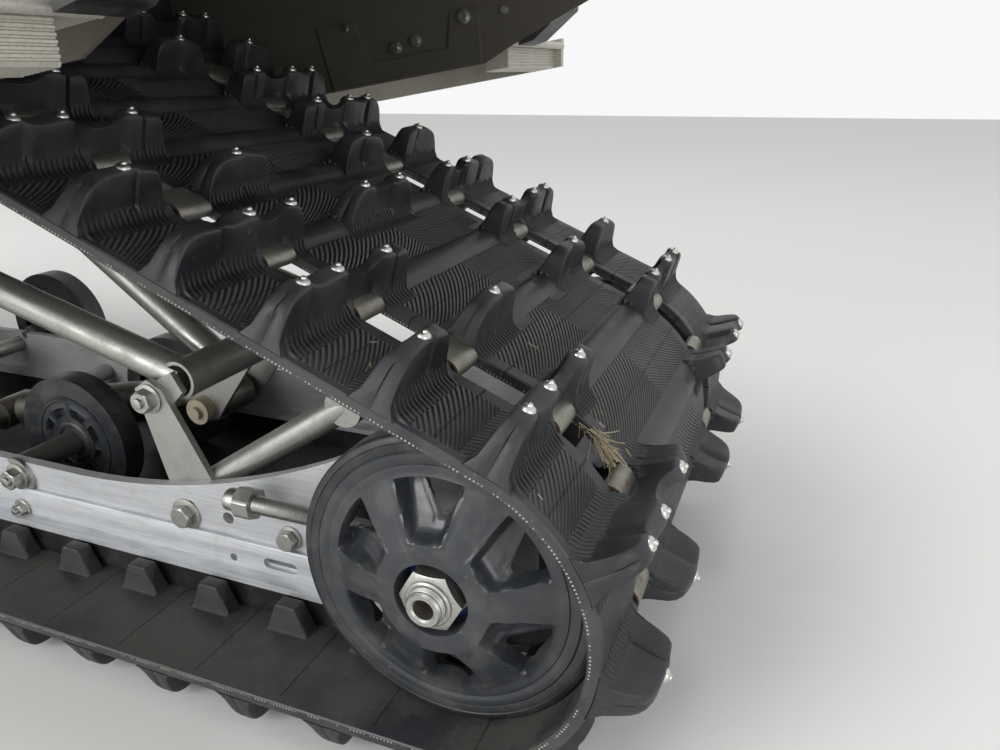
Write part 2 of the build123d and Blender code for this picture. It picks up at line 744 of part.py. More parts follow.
def make_adjuster():
    """Tension screw beside the rail: block at the axle, bracket, screw and cap nut."""
    plate_half, block_half = ADJUSTER_PLATE_H / 2, ADJUSTER_BLOCK_H / 2
    reach = ADJUSTER_Y + ADJUSTER_PAST
    plate = box(ADJUSTER_X - ADJUSTER_PLATE_T / 2, ADJUSTER_X + ADJUSTER_PLATE_T / 2,
                RAIL_OUT, reach, -plate_half, plate_half)
    screw = rod((ADJUSTER_START_X, ADJUSTER_Y, 0), (ADJUSTER_END_X, ADJUSTER_Y, 0), ADJUSTER_D)
    cap_start = ADJUSTER_END_X - 4
    cap = rod((cap_start, ADJUSTER_Y, 0), (cap_start + CAP_NUT_L, ADJUSTER_Y, 0), CAP_NUT_D)
    block_low = AXLE_D / 2 + SPACER_T + RUN_GAP
    block = box(block_low, block_low + ADJUSTER_BLOCK_T, RAIL_OUT + 1, reach,
                -block_half, block_half)
    return plate + screw + cap + block


# Arms and links
def across(x, z, half, diameter):
    """A bar along Y, centred on the module."""
    return rod((x, -half, z), (x, half, z), diameter)


def make_rear_arm():
    eye_x, eye_z = SHOCK_EYE
    pivot_half = TUNNEL_HALF - ARM_PIVOT_END
    pieces = [
        across(ARM_PIVOT_X, ARM_PIVOT_Z, pivot_half, PIVOT_D + 2 * SLEEVE_T),
        across(CARRIER_X, CARRIER_Z, CARRIER_SLEEVE_HALF, SHAFT_D + 2 * CARRIER_SLEEVE_T),
    ]
    cross_point = (CROSS_X, CROSS_Z)
    pivot_point = (ARM_PIVOT_X, ARM_PIVOT_Z)
    carrier_point = (CARRIER_X, CARRIER_Z)
    # Tubes on each side: start, its y, end, its y and diameter
    tubes = [
        (cross_point, ARM_TUBE_Y, pivot_point, ARM_TUBE_Y, ARM_TUBE_D),
        (cross_point, LOW_BRACE_Y, carrier_point, BRACE_TOP_Y, BRACE_D),
        (pivot_point, HIGH_BRACE_Y, carrier_point, BRACE_TOP_Y, BRACE_D),
    ]
    eye_plate = slab(about(cross_point, EYE_PLATE_TOP) + about(SHOCK_EYE, EYE_PLATE_LOW),
                     EYE_PLATE_Y, EYE_PLATE_Y + EYE_PLATE_T)
    link_lug = slab(about(cross_point, LINK_LUG_TOP) + about(LINK_TOP, LINK_LUG_LOW)
                    + about(cross_point, LINK_LUG_BACK), CROSS_HALF - 8, LINK_Y - LINK_T / 2)
    for side in (-1, 1):
        for (x0, z0), y0, (x1, z1), y1, diameter in tubes:
            pieces.append(rod((x0, side * y0, z0), (x1, side * y1, z1), diameter))
    pieces += [eye_plate, mirrored(eye_plate), link_lug, mirrored(link_lug)]
    arm = across(CROSS_X, CROSS_Z, CROSS_HALF, CROSS_D) + pieces
    bores = [
        across(CROSS_X, CROSS_Z, CROSS_HALF + 1, CROSS_D - 2 * TUBE_WALL),
        across(ARM_PIVOT_X, ARM_PIVOT_Z, TUNNEL_HALF, PIVOT_D + 2 * TURN_PLAY),
        across(CARRIER_X, CARRIER_Z, CARRIER_Y, SHAFT_D + 2 * TURN_PLAY),
        across(eye_x, eye_z, EYE_PIN_HALF, EYE_PIN_D),
    ]
    return arm - bores


def make_link():
    """Rear link: tapered sheet from the arm's lug to the rail, and a leg up to the stop tube."""
    low, high = LINK_Y - LINK_T / 2, LINK_Y + LINK_T / 2
    foot_x, foot_z = LINK_FOOT
    rear_x, rear_z = LINK_REAR
    sheet = slab(about(LINK_TOP, LINK_SHEET_TOP) + about(LINK_FOOT, LINK_SHEET_LOW), low, high)
    leg = rod((foot_x - 4, LINK_Y - 10, foot_z + 10), (rear_x, LINK_Y - 24, rear_z), LINK_LEG_D)
    leg -= box(rear_x - 80, foot_x + 60, high, high + 40, foot_z - 60, rear_z + 120)
    boss = disc(LINK_BOSS_D / 2, rear_x, rear_z, LINK_BOSS_Y, LINK_BOSS_Y + LINK_BOSS_W)
    return sheet + leg + boss


def make_stop_tube():
    """Tube between the two links' upper rear ends."""
    half = LINK_BOSS_Y - LINK_GAP
    rear_x, rear_z = LINK_REAR
    return tube((rear_x, -half, rear_z), (rear_x, half, rear_z), STOP_TUBE_D)


def along_line(start, end):
    """A function that gives the point at a distance from start towards end, and the length."""
    length = math.hypot(end[0] - start[0], end[1] - start[1])
    ux, uz = (end[0] - start[0]) / length, (end[1] - start[1]) / length
    return lambda t: (start[0] + ux * t, 0, start[1] + uz * t), length


def make_rear_shock():
    at, length = along_line(SHOCK_EYE, SHOCK_FOOT)
    whole = rod(at(SHOCK_BODY_START), at(length - SHOCK_BODY_BACK), SHOCK_BODY_D)
    whole += rod(at(8), at(SHOCK_BODY_START + 20), SHOCK_ROD_D)
    whole += rod(at(length - SHOCK_BODY_BACK - 14), at(length - 10), SHOCK_NECK_D)
    for x, z in (SHOCK_EYE, SHOCK_FOOT):
        whole -= disc(EYE_R, x, z, -EYE_HALF - 12, EYE_HALF + 12)
    eye = ring(EYE_R, EYE_PIN_D / 2 + 2 * TURN_PLAY, *SHOCK_EYE, -EYE_HALF, EYE_HALF)
    foot = ring(EYE_R, SHAFT_D / 2 + TURN_PLAY, *SHOCK_FOOT, -EYE_HALF, EYE_HALF)
    return whole + eye + foot


def make_eye_pin():
    """Bolt through the shock's rear eye, with a bushing outside each bracket plate."""
    x, z = SHOCK_EYE
    pin = across(x, z, EYE_PIN_HALF, EYE_PIN_D)
    low = EYE_PLATE_Y + EYE_PLATE_T
    bushing = disc(BUSHING_D / 2, x, z, low, low + BUSHING_L)
    return pin + bushing + mirrored(bushing)


def make_cross_shafts():
    """Shafts between the rails for the shocks' feet and the front arm."""
    shafts = [across(x, z, RAIL_IN, SHAFT_D) for x, z in (SHOCK_FOOT, FRONT_SHOCK_FOOT, FRONT_FOOT)]
    return as_part(shafts)


def make_front_arm():
    pivot_half = TUNNEL_HALF - ARM_PIVOT_END
    pieces = [
        across(*FRONT_PIVOT, pivot_half, PIVOT_D + 2 * SLEEVE_T),
        across(*FRONT_BAR, (FRONT_FOOT_Y + FRONT_TOP_Y) / 2, FRONT_BAR_D),
    ]
    for side in (-1, 1):
        pieces.append(rod((FRONT_FOOT[0], side * FRONT_FOOT_Y, FRONT_FOOT[1]),
                          (FRONT_PIVOT[0], side * FRONT_TOP_Y, FRONT_PIVOT[1]), FRONT_ARM_D))
    arm = across(*FRONT_FOOT, FRONT_SLEEVE_HALF, SHAFT_D + 2 * CARRIER_SLEEVE_T) + pieces
    bores = [
        across(*FRONT_FOOT, FRONT_SLEEVE_HALF + 1, SHAFT_D + 2 * TURN_PLAY),
        across(*FRONT_PIVOT, TUNNEL_HALF, PIVOT_D + 2 * TURN_PLAY),
    ]
    return arm - bores


def make_front_shock():
    """Shock from the front arm's cross bar down to the rails, with a collar at each spring end."""
    at, length = along_line(FRONT_SHOCK_FOOT, FRONT_BAR)
    top_collar = length - FOOT_COLLAR
    whole = rod(at(length / 2 - 20), at(length - 12), FRONT_BODY_D)
    whole += rod(at(8), at(length / 2), SHOCK_ROD_D)
    whole += rod(at(FOOT_COLLAR - COLLAR_T), at(FOOT_COLLAR), COLLAR_D)
    whole += rod(at(top_collar), at(top_collar + COLLAR_T), COLLAR_D)
    for x, z in (FRONT_SHOCK_FOOT, FRONT_BAR):
        whole -= disc(EYE_R, x, z, -COLLAR_D, COLLAR_D)
    foot = ring(EYE_R, SHAFT_D / 2 + TURN_PLAY, *FRONT_SHOCK_FOOT, -EYE_HALF, EYE_HALF)
    top = ring(EYE_R, FRONT_BAR_D / 2 + TURN_PLAY, *FRONT_BAR, -EYE_HALF, EYE_HALF)
    return whole + foot + top


def make_front_spring():
    at, length = along_line(FRONT_SHOCK_FOOT, FRONT_BAR)
    low = FOOT_COLLAR + SPRING_WIRE_D / 2 + SPRING_PLAY
    high = length - low
    path = Helix(pitch=(high - low) / SPRING_TURNS, height=high - low,
                 radius=(SPRING_D - SPRING_WIRE_D) / 2)
    start = Plane(origin=path @ 0, z_dir=path % 0)
    coil = sweep(start * Circle(SPRING_WIRE_D / 2), path=path)
    axis = Vector(*at(1)) - Vector(*at(0))
    return Plane(origin=at(low), z_dir=axis) * coil


def make_pivot_shafts():
    """Fixed shafts across the tunnel for both arms."""
    return as_part([
        across(ARM_PIVOT_X, ARM_PIVOT_Z, TUNNEL_HALF, PIVOT_D),
        across(*FRONT_PIVOT, TUNNEL_HALF, PIVOT_D),
    ])


# Drive shaft
def driver_turn():
    """Angle, in radians, of the first row on the belt's arc round the driver."""
    s = 0.0
    for kind, length, angle, circle in RUNS:
        if kind == "arc" and circle[0] == DRIVE_X:
            row = math.ceil((s - row_s(0)) / TRACK_PITCH)
            return angle + (row_s(row) - s) / circle[2]
        s += length
    return 0.0


def make_driver():
    """Toothed drive wheel: disc with pegs between the drive lugs."""
    low, high = DRIVE_LUG_Y - DRIVER_W / 2, DRIVE_LUG_Y + DRIVER_W / 2
    disc_r = DRIVER_R - DRIVE_LUG_H - DRIVER_PLAY
    foot_r, tip_r = disc_r - PEG_SINK, DRIVER_R - PEG_PLAY
    foot_half, tip_half = PEG_W / 2, PEG_W / 2 * PEG_TIP
    body = disc(disc_r, DRIVE_X, DRIVE_Z, low, high)
    pegs = []
    for i in range(DRIVE_TEETH):
        turn = driver_turn() + 2 * math.pi / DRIVE_TEETH * (i + 0.5)
        cx, cz = math.cos(turn), math.sin(turn)
        corners = ((foot_r, -foot_half), (tip_r, -tip_half), (tip_r, tip_half), (foot_r, foot_half))
        points = [(DRIVE_X + r * cx - w * cz, DRIVE_Z + r * cz + w * cx) for r, w in corners]
        pegs.append(slab(points, low, high))
    return body + pegs - disc(DRIVE_SHAFT_D / 2, DRIVE_X, DRIVE_Z, low - 1, high + 1)


def make_drive_shaft():
    """Drive shaft with a thinner journal outside each bearing."""
    end = WALL_OUT + SHAFT_REACH
    body = across(DRIVE_X, DRIVE_Z, end - JOURNAL_L, DRIVE_SHAFT_D)
    return body + across(DRIVE_X, DRIVE_Z, end, JOURNAL_D)


def make_bearing_housing():
    return ring(HOUSING_R, DRIVE_SHAFT_D / 2 + TURN_PLAY, DRIVE_X, DRIVE_Z,
                WALL_OUT, WALL_OUT + HOUSING_L)


# Tunnel
def wall_outline(top):
    """Side of the tunnel, from its rear top corner down and forward."""
    drop_z = DRIVE_Z - WALL_DROP
    return [
        (TUNNEL_REAR_X, top), (TUNNEL_REAR_X, TUNNEL_HEEL_Z), WALL_REAR, WALL_CORNER,
        (WALL_BEND_X, TUNNEL_LOW_Z), (DRIVE_X - WALL_DROP_START, TUNNEL_LOW_Z),
        (DRIVE_X - WALL_DROP_END, drop_z), (DRIVE_X + WALL_DROP_END / 2, drop_z),
        (TUNNEL_FRONT_X, DRIVE_Z - WALL_FRONT_DROP), (TUNNEL_FRONT_X, top),
    ]


def make_tunnel():
    shell = slab(wall_outline(TUNNEL_TOP_Z), -WALL_OUT, WALL_OUT)
    hollow = box(TUNNEL_REAR_X - 10, TUNNEL_FRONT_X + 10, -TUNNEL_HALF, TUNNEL_HALF,
                 0.0, TUNNEL_TOP_Z - SHEET_T)
    shaft_hole = disc(DRIVE_SHAFT_D / 2 + SLEEVE_T, DRIVE_X, DRIVE_Z, -WALL_OUT - 1, WALL_OUT + 1)
    return shell - hollow - shaft_hole


def board_z(x):
    """Height of the running board's top at x: flat, and rising towards the rear."""
    rise = max(WALL_BEND_X - x, 0.0) * math.tan(math.radians(BOARD_RISE))
    return BOARD_FLAT_Z + rise


def board_strip(x_values, up, down, y_low, y_high):
    """A strip that follows the board, from above its top to below it."""
    top = [(x, board_z(x) + up) for x in x_values]
    low = [(x, board_z(x) - down) for x in reversed(x_values)]
    return slab(top + low, y_low, y_high)


def make_board():
    front_x = DRIVE_X - BOARD_FRONT_BACK
    places = [BOARD_REAR_X, WALL_BEND_X, front_x]
    board = board_strip(places, 0.0, BOARD_T, WALL_OUT, BOARD_OUT)
    board += board_strip(places, BOARD_RIM_UP, BOARD_RIM_DOWN, BOARD_OUT - BOARD_RIM_T, BOARD_OUT)
    board += board_strip(places, BOARD_FLANGE_UP, 1.0, WALL_OUT, WALL_OUT + BOARD_FLANGE_T)
    lip_z = board_z(BOARD_REAR_X) - BOARD_T / 2
    board += rod((BOARD_REAR_X, WALL_OUT + BOARD_LIP_IN, lip_z),
                 (BOARD_REAR_X, BOARD_OUT - BOARD_RIM_T, lip_z), BOARD_LIP_D)
    slots = []
    x = WALL_BEND_X + SLOT_OUT
    while x + SLOT_L < front_x:
        slots.append(box(x, x + SLOT_L, WALL_OUT + SLOT_IN, BOARD_OUT - SLOT_OUT,
                         BOARD_FLAT_Z - 20, BOARD_FLAT_Z + 20))
        x += SLOT_STEP
    return board - slots


def make_rear_bar():
    """Extruded foot bar under the rear end of the running board."""
    x0, x1 = BAR_X, BAR_X + BAR_L
    rear_z, front_z = board_z(x0) - BOARD_T, board_z(x1) - BOARD_T
    points = [(x0, rear_z), (x1, front_z), (x1, front_z - BAR_H), (x0, rear_z - BAR_H)]
    return slab(points, BAR_IN_Y, BOARD_OUT - BOARD_RIM_T)


def make_bumper():
    """Bent tube round the tunnel's rear end."""
    (x0, z0), (x1, z1) = BUMPER_FRONT, BUMPER_REAR
    points = [(x0, BUMPER_Y, z0), (x1, BUMPER_Y, z1), (x1, -BUMPER_Y, z1), (x0, -BUMPER_Y, z0)]
    path = FilletPolyline(*points, radius=BUMPER_BEND_R)
    start = Plane(origin=path @ 0, z_dir=path % 0)
    return sweep(start * Circle(BUMPER_D / 2), path=path)


def make_end_cap():
    """Moulded wedge under the bumper's front end, on the tunnel's side."""
    (x0, z0), (x1, z1) = BUMPER_FRONT, BUMPER_REAR
    slope = (z1 - z0) / (x1 - x0)
    points = about(BUMPER_FRONT, [CAP_LOW, CAP_STEP, CAP_FAR])
    for x in (x0 + CAP_FAR[0], x0 + CAP_LOW[0]):
        points.append((x, z0 + slope * (x - x0)))
    wedge = slab(points, WALL_OUT, CAP_OUT_Y)
    groove = rod((x0 + 30, BUMPER_Y, z0 + slope * 30), (x1, BUMPER_Y, z1), BUMPER_D + 2 * RUN_GAP)
    return wedge - groove


def make_inner_plate():
    """Stiffening plate with a U cut-out inside the tunnel's rear side."""
    return slab(about(WALL_CORNER, INNER_PLATE), TUNNEL_HALF - INNER_PLATE_T, TUNNEL_HALF)


def make_bulkhead():
    """Cross sheet that closes the tunnel's front."""
    x_low, x_high = TUNNEL_FRONT_X - SHEET_T, TUNNEL_FRONT_X
    sheet = box(x_low, x_high, -TUNNEL_HALF, TUNNEL_HALF, DRIVE_Z - 10, TUNNEL_TOP_Z - SHEET_T)
    holes = []
    for y in (-MOUNT_SPAN_Y / 2, MOUNT_SPAN_Y / 2):
        for z in (MOUNT_Z - MOUNT_SPAN_Z / 2, MOUNT_Z + MOUNT_SPAN_Z / 2):
            holes.append(rod((x_low - 1, y, z), (x_high + 1, y, z), BOLT_D))
    return sheet - holes


def make_cooler():
    """Flat heat exchanger under the tunnel's top."""
    top = TUNNEL_TOP_Z - SHEET_T
    return box(COOLER_REAR_X, DRIVE_X - COOLER_FRONT_BACK, -COOLER_HALF, COOLER_HALF,
               top - COOLER_T, top)


def make_arm_bracket():
    """Plate that hangs from the tunnel's side and holds the rear arm's shaft."""
    low_z = ARM_PIVOT_Z - ARM_PLATE_LOW
    points = [(ARM_PIVOT_X - ARM_PLATE_TOP_HALF, ARM_PLATE_TOP_Z),
              (ARM_PIVOT_X - ARM_PLATE_LOW_HALF, low_z), (ARM_PIVOT_X + ARM_PLATE_LOW_HALF, low_z),
              (ARM_PIVOT_X + ARM_PLATE_TOP_HALF, ARM_PLATE_TOP_Z)]
    plate = slab(points, TUNNEL_HALF - ARM_PLATE_T, TUNNEL_HALF)
    return plate - disc(PIVOT_D / 2, ARM_PIVOT_X, ARM_PIVOT_Z, TUNNEL_HALF - 6, TUNNEL_HALF + 1)


def build_nodes():
    nodes = {}
    nodes["track"] = make_track()
    nodes["track_clips"] = make_clips()

    def both(name, solid):
        nodes[name + "_left"] = solid
        nodes[name + "_right"] = mirrored(solid)

    both("rail", make_rail())
    nodes["rail_plates"] = make_rail_plates()
    both("slide", make_slide())
    both("rear_wheel", make_rear_wheel())
    both("rear_tyre", make_rear_tyre())
    both("rear_bearing", make_rear_bearing())
    nodes["rear_axle"] = make_axle()
    nodes["axle_spacers"] = make_spacers()
    nodes["axle_nuts"] = make_axle_nuts()
    both("adjuster", make_adjuster())
    nodes["rear_arm"] = make_rear_arm()
    both("rear_link", make_link())
    nodes["stop_tube"] = make_stop_tube()
    nodes["rear_shock"] = make_rear_shock()
    nodes["shock_pin"] = make_eye_pin()
    nodes["cross_shafts"] = make_cross_shafts()
    nodes["front_arm"] = make_front_arm()
    nodes["pivot_shafts"] = make_pivot_shafts()
    nodes["front_shock"] = make_front_shock()
    nodes["front_spring"] = make_front_spring()
    # Rollers: name, diameter, width, x, z, y and bore
    rollers = [
        ("inner", INNER_WHEEL_D, INNER_WHEEL_W, INNER_WHEEL_X, INNER_WHEEL_Z, INNER_WHEEL_Y, INNER_BORE),
        ("carrier", CARRIER_D, CARRIER_W, CARRIER_X, CARRIER_Z, CARRIER_Y, SHAFT_D),
        ("bogie", BOGIE_D, CARRIER_W, BOGIE_X, BOGIE_Z, BOGIE_Y, SHAFT_D),
    ]
    for name, diameter, width, x, z, y, bore in rollers:
        wheel, tyre = roller(diameter, width, x, z, y, bore)
        nodes[name + "_wheels"] = as_part([wheel, mirrored(wheel)])
        nodes[name + "_tyres"] = as_part([tyre, mirrored(tyre)])
    inner_stub = rod((INNER_WHEEL_X, INNER_WHEEL_Y - STUB_PAST, INNER_WHEEL_Z),
                     (INNER_WHEEL_X, RAIL_IN, INNER_WHEEL_Z), INNER_BORE)
    nodes["inner_stubs"] = as_part([inner_stub, mirrored(inner_stub)])
    nodes["carrier_shaft"] = across(CARRIER_X, CARRIER_Z, CARRIER_Y + STUB_PAST, SHAFT_D)
    bogie_stub = rod((BOGIE_X, RAIL_OUT, BOGIE_Z), (BOGIE_X, BOGIE_Y + STUB_PAST, BOGIE_Z), SHAFT_D)
    nodes["bogie_stubs"] = as_part([bogie_stub, mirrored(bogie_stub)])
    nodes["drive_shaft"] = make_drive_shaft()
    both("driver", make_driver())
    both("shaft_bearing", make_bearing_housing())
    nodes["tunnel"] = make_tunnel()
    nodes["bulkhead"] = make_bulkhead()
    nodes["cooler"] = make_cooler()
    both("board", make_board())
    both("board_bar", make_rear_bar())
    both("side_plate", make_inner_plate())
    both("arm_bracket", make_arm_bracket())
    nodes["rear_bumper"] = make_bumper()
    both("end_cap", make_end_cap())
    return nodes


def main():
    nodes = build_nodes()
    whole = Compound(children=[Compound(children=node.solids()) for node in nodes.values()])
    bounds = whole.bounding_box()
    shift = (-(bounds.min.X + bounds.max.X) / 2, 0.0, -bounds.min.Z)
    print("drive axle x", round(DRIVE_X, 3), "shift", [round(v, 4) for v in shift])
    os.makedirs("parts", exist_ok=True)
    for name, node in nodes.items():
        placed = Pos(*shift) * Compound(children=node.solids())
        export_step(placed, f"parts/{name}.step")


if __name__ == "__main__":
    main()
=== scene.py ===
"""Adds the visible detail of a snowmobile's rear track module to its fixed frame.

Places are written in millimetres about the rear axle: x forward, y to the vehicle's left, z up.
"""

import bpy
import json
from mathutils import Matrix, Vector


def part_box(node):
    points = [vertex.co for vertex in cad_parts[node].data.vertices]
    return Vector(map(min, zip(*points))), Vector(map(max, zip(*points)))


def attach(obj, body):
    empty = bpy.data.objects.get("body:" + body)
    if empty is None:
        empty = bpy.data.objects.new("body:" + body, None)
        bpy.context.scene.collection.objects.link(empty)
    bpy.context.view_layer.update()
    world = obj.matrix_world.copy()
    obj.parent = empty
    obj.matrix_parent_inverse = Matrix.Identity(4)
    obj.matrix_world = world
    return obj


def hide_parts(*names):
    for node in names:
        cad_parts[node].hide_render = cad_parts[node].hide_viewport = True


bl_info = {
    "name": "Snowmobile Track Module",
    "version": (1, 0, 0),
    "blender": (4, 5, 0),
    "location": "View3D > Sidebar > Track Module",
    "description": "Builds the rubber track, wheels, rails, arms and tunnel of a rear module",
    "category": "Object",
}

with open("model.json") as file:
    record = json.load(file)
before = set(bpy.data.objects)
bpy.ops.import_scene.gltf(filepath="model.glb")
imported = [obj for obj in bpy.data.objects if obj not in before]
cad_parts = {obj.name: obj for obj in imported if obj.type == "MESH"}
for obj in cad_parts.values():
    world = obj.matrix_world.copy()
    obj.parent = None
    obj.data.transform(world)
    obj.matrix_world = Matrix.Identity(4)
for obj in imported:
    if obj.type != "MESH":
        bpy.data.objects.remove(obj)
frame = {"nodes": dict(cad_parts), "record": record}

import bpy
import json
import math
import numpy as np
import random
from bpy.props import FloatProperty, FloatVectorProperty, IntProperty, PointerProperty
from mathutils import Matrix, Vector

MM = 0.001
# Vertices nearer than this are one, in metres
WELD = 2e-6


def middle(node):
    """The middle of a solid's box, in metres."""
    low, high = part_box(node)
    return (low + high) / 2


AXLE = middle("rear_axle")
DRIVE = (middle("drive_shaft") - AXLE) / MM

# Track, in mm
PITCH = 64.0
PITCHES = 54
LOOP = PITCH * PITCHES
BELT_T = 7.0
ROD_LINE = BELT_T / 2
HALF_W = 208.0
LANE_IN = 109.0
LANE_OUT = 137.0
LANE_Y = 123.0
CLIP_TOP = 10.8
FIRST_ROW_S = 2.0 - 4 * PITCH
ROW_KINDS = ["side", "centre", "cross", "side", "cross", "cross"]

# Belt circles at the rods' line: x, z, radius
WHEEL_R = 89.3
BOW_R = 300.0
DRIVER_R = PITCH * 8 / (2 * math.pi) - ROD_LINE
CARRIER_R = 64.3
SLOPE = math.radians(23.0)
CARRIER_X = 540.0
CARRIER_Z = (WHEEL_R - CARRIER_R + math.sin(SLOPE) * CARRIER_X) / math.cos(SLOPE)
CIRCLES = [
    (0.0, 0.0, WHEEL_R + ROD_LINE),
    (820.0, BOW_R - WHEEL_R, BOW_R + ROD_LINE),
    (DRIVE.x, DRIVE.z, DRIVER_R + ROD_LINE),
    (CARRIER_X, CARRIER_Z, CARRIER_R + ROD_LINE),
]


def belt_runs():
    """Arcs and straight runs of the belt round its circles."""
    normals, spans = [], []
    for i, (x, z, r) in enumerate(CIRCLES):
        x2, z2, r2 = CIRCLES[(i + 1) % len(CIRCLES)]
        gap = math.hypot(x2 - x, z2 - z)
        normals.append(math.atan2(z2 - z, x2 - x) - math.acos((r - r2) / gap))
        spans.append(math.sqrt(gap * gap - (r - r2) ** 2))
    runs = []
    for i, circle in enumerate(CIRCLES):
        turn = (normals[i] - normals[i - 1]) % (2 * math.pi)
        runs.append(("arc", turn * circle[2], normals[i - 1], circle))
        runs.append(("line", spans[i], normals[i], circle))
    return runs


RUNS = belt_runs()


def belt_frame(s):
    """The rods' line at distance s: x, z and the outward normal's angle."""
    s = s % LOOP
    for kind, length, angle, (x, z, r) in RUNS:
        if s <= length:
            break
        s -= length
    if kind == "arc":
        angle += s / r
        s = 0.0
    nx, nz = math.cos(angle), math.sin(angle)
    return x + r * nx - s * nz, z + r * nz + s * nx, angle


def row_s(k):
    """Distance round the belt of a lug row."""
    return FIRST_ROW_S + k * PITCH


def row_kind(k):
    """Which of the three kinds of lug row this one is."""
    return ROW_KINDS[k % len(ROW_KINDS)]


def place(x, y, z):
    """A point in metres in the frame, from millimetres about the rear axle."""
    return Vector((AXLE.x + x * MM, y * MM, AXLE.z + z * MM))


AXLE_PLACE = place(0, 0, 0)


def ease(low, high, value):
    """A smooth step from 0 at low to 1 at high."""
    t = min(max((value - low) / (high - low), 0.0), 1.0)
    return t * t * (3 - 2 * t)


def along(table, value):
    """The value of a table of (place, value) pairs at a place, in straight lines between them."""
    return float(np.interp(value, [p for p, v in table], [v for p, v in table]))


# Mesh helpers
def deselect():
    """Leaves edit mode and selects nothing."""
    if bpy.context.object and bpy.context.object.mode != "OBJECT":
        bpy.ops.object.mode_set(mode="OBJECT")
    bpy.ops.object.select_all(action="DESELECT")


def only(piece):
    """Selects one piece and makes it active."""
    deselect()
    piece.select_set(True)
    bpy.context.view_layer.objects.active = piece
    return piece


def apply_place(piece):
    """Puts a piece's place, turn and scale into its mesh."""
    only(piece)
    bpy.ops.object.transform_apply(location=True, rotation=True, scale=True)
    return piece


def apply_modifier(piece, kind, **settings):
    """Adds a modifier with its settings and applies it."""
    only(piece)
    made = piece.modifiers.new(kind.title(), kind)
    for name, value in settings.items():
        setattr(made, name, value)
    bpy.ops.object.modifier_apply(modifier=made.name)
    return piece


def face_out(piece):
    """Welds doubles and turns all faces outwards."""
    only(piece)
    bpy.ops.object.mode_set(mode="EDIT")
    bpy.ops.mesh.select_all(action="SELECT")
    bpy.ops.mesh.remove_doubles(threshold=WELD)
    bpy.ops.mesh.normals_make_consistent(inside=False)
    bpy.ops.object.mode_set(mode="OBJECT")
    return piece


def smooth(piece, degrees=35.0):
    """Shades smoothly across edges that turn less than this angle."""
    only(piece)
    bpy.ops.object.shade_smooth_by_angle(angle=math.radians(degrees))
    return piece


def join(pieces, name):
    """Makes one piece of several."""
    deselect()
    for piece in pieces:
        piece.select_set(True)
    bpy.context.view_layer.objects.active = pieces[0]
    if len(pieces) > 1:
        bpy.ops.object.join()
    joined = bpy.context.object
    joined.name = name
    joined.data.name = name
    return joined


def copied(piece):
    """A copy with a mesh of its own."""
    twin = piece.copy()
    twin.data = piece.data.copy()
    bpy.context.collection.objects.link(twin)
    return twin


def mirrored(piece):
    """A copy on the module's other side."""
    twin = copied(piece)
    twin.data.transform(Matrix.Scale(-1, 4, (0, 1, 0)))
    twin.data.flip_normals()
    return twin


def shaped_grid(name, rows, columns, shape, uv=None):
    """A grid primitive with each vertex moved to shape(row, column), in metres."""
    deselect()
    bpy.ops.mesh.primitive_grid_add(x_subdivisions=columns - 1, y_subdivisions=rows - 1, size=2.0)
    piece = bpy.context.object
    piece.name = name
    mesh = piece.data
    cells = []
    for vertex in mesh.vertices:
        column = round((vertex.co.x + 1) / 2 * (columns - 1))
        row = round((vertex.co.y + 1) / 2 * (rows - 1))
        cells.append((row, column))
    for vertex, (row, column) in zip(mesh.vertices, cells):
        vertex.co = shape(row, column)
    if uv:
        layer = mesh.uv_layers[0]
        for loop in mesh.loops:
            layer.data[loop.index].uv = uv(*cells[loop.vertex_index])
    return piece


def fill_open_edges(piece):
    """Closes the open ends of a mesh and faces it outwards."""
    only(piece)
    bpy.ops.object.mode_set(mode="EDIT")
    bpy.ops.mesh.select_mode(type="EDGE")
    bpy.ops.mesh.select_all(action="DESELECT")
    bpy.ops.mesh.select_non_manifold(extend=False, use_wire=False, use_boundary=True,
                                     use_multi_face=False, use_non_contiguous=False, use_verts=False)
    bpy.ops.mesh.fill_holes(sides=0)
    bpy.ops.object.mode_set(mode="OBJECT")
    return face_out(piece)


def turned(name, profile, steps):
    """A closed ring turned round the rear axle: profile is (radius, height along the axle) in mm."""
    axis = Vector((0, 1, 0))
    side = axis.orthogonal().normalized()
    other = axis.cross(side)

    def shape(row, column):
        r, h = profile[column % len(profile)]
        turn = 2 * math.pi * row / steps
        return AXLE_PLACE + (side * math.cos(turn) * r + other * math.sin(turn) * r + axis * h) * MM

    return face_out(shaped_grid(name, steps + 1, len(profile) + 1, shape))


def cylinder(name, start, end, radius, sides=32, bevel=0.0):
    """A rod between two places in mm, with rounded rims."""
    a, b = place(*start), place(*end)
    direction = b - a
    deselect()
    bpy.ops.mesh.primitive_cone_add(
        vertices=sides, radius1=radius * MM, radius2=radius * MM,
        depth=direction.length, location=(a + b) / 2,
        rotation=direction.to_track_quat("Z", "Y").to_euler(), end_fill_type="NGON")
    piece = apply_place(bpy.context.object)
    piece.name = name
    if bevel:
        apply_modifier(piece, "BEVEL", width=bevel * MM, segments=2, limit_method="ANGLE",
                       angle_limit=math.radians(50))
    return piece


def block(name, low, high, bevel):
    """A rounded block between two corners in mm."""
    a, b = place(*low), place(*high)
    deselect()
    bpy.ops.mesh.primitive_cube_add(size=1, location=(a + b) / 2, scale=b - a)
    piece = apply_place(bpy.context.object)
    piece.name = name
    return apply_modifier(piece, "BEVEL", width=bevel * MM, segments=2)


def finish(piece, body, material, slot, *nodes):
    """Gives a piece its finish, its body and the solids that it stands for."""
    piece.data.materials.clear()
    piece.data.materials.append(material)
    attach(piece, body)
    if nodes:
        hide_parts(*nodes)
    return piece


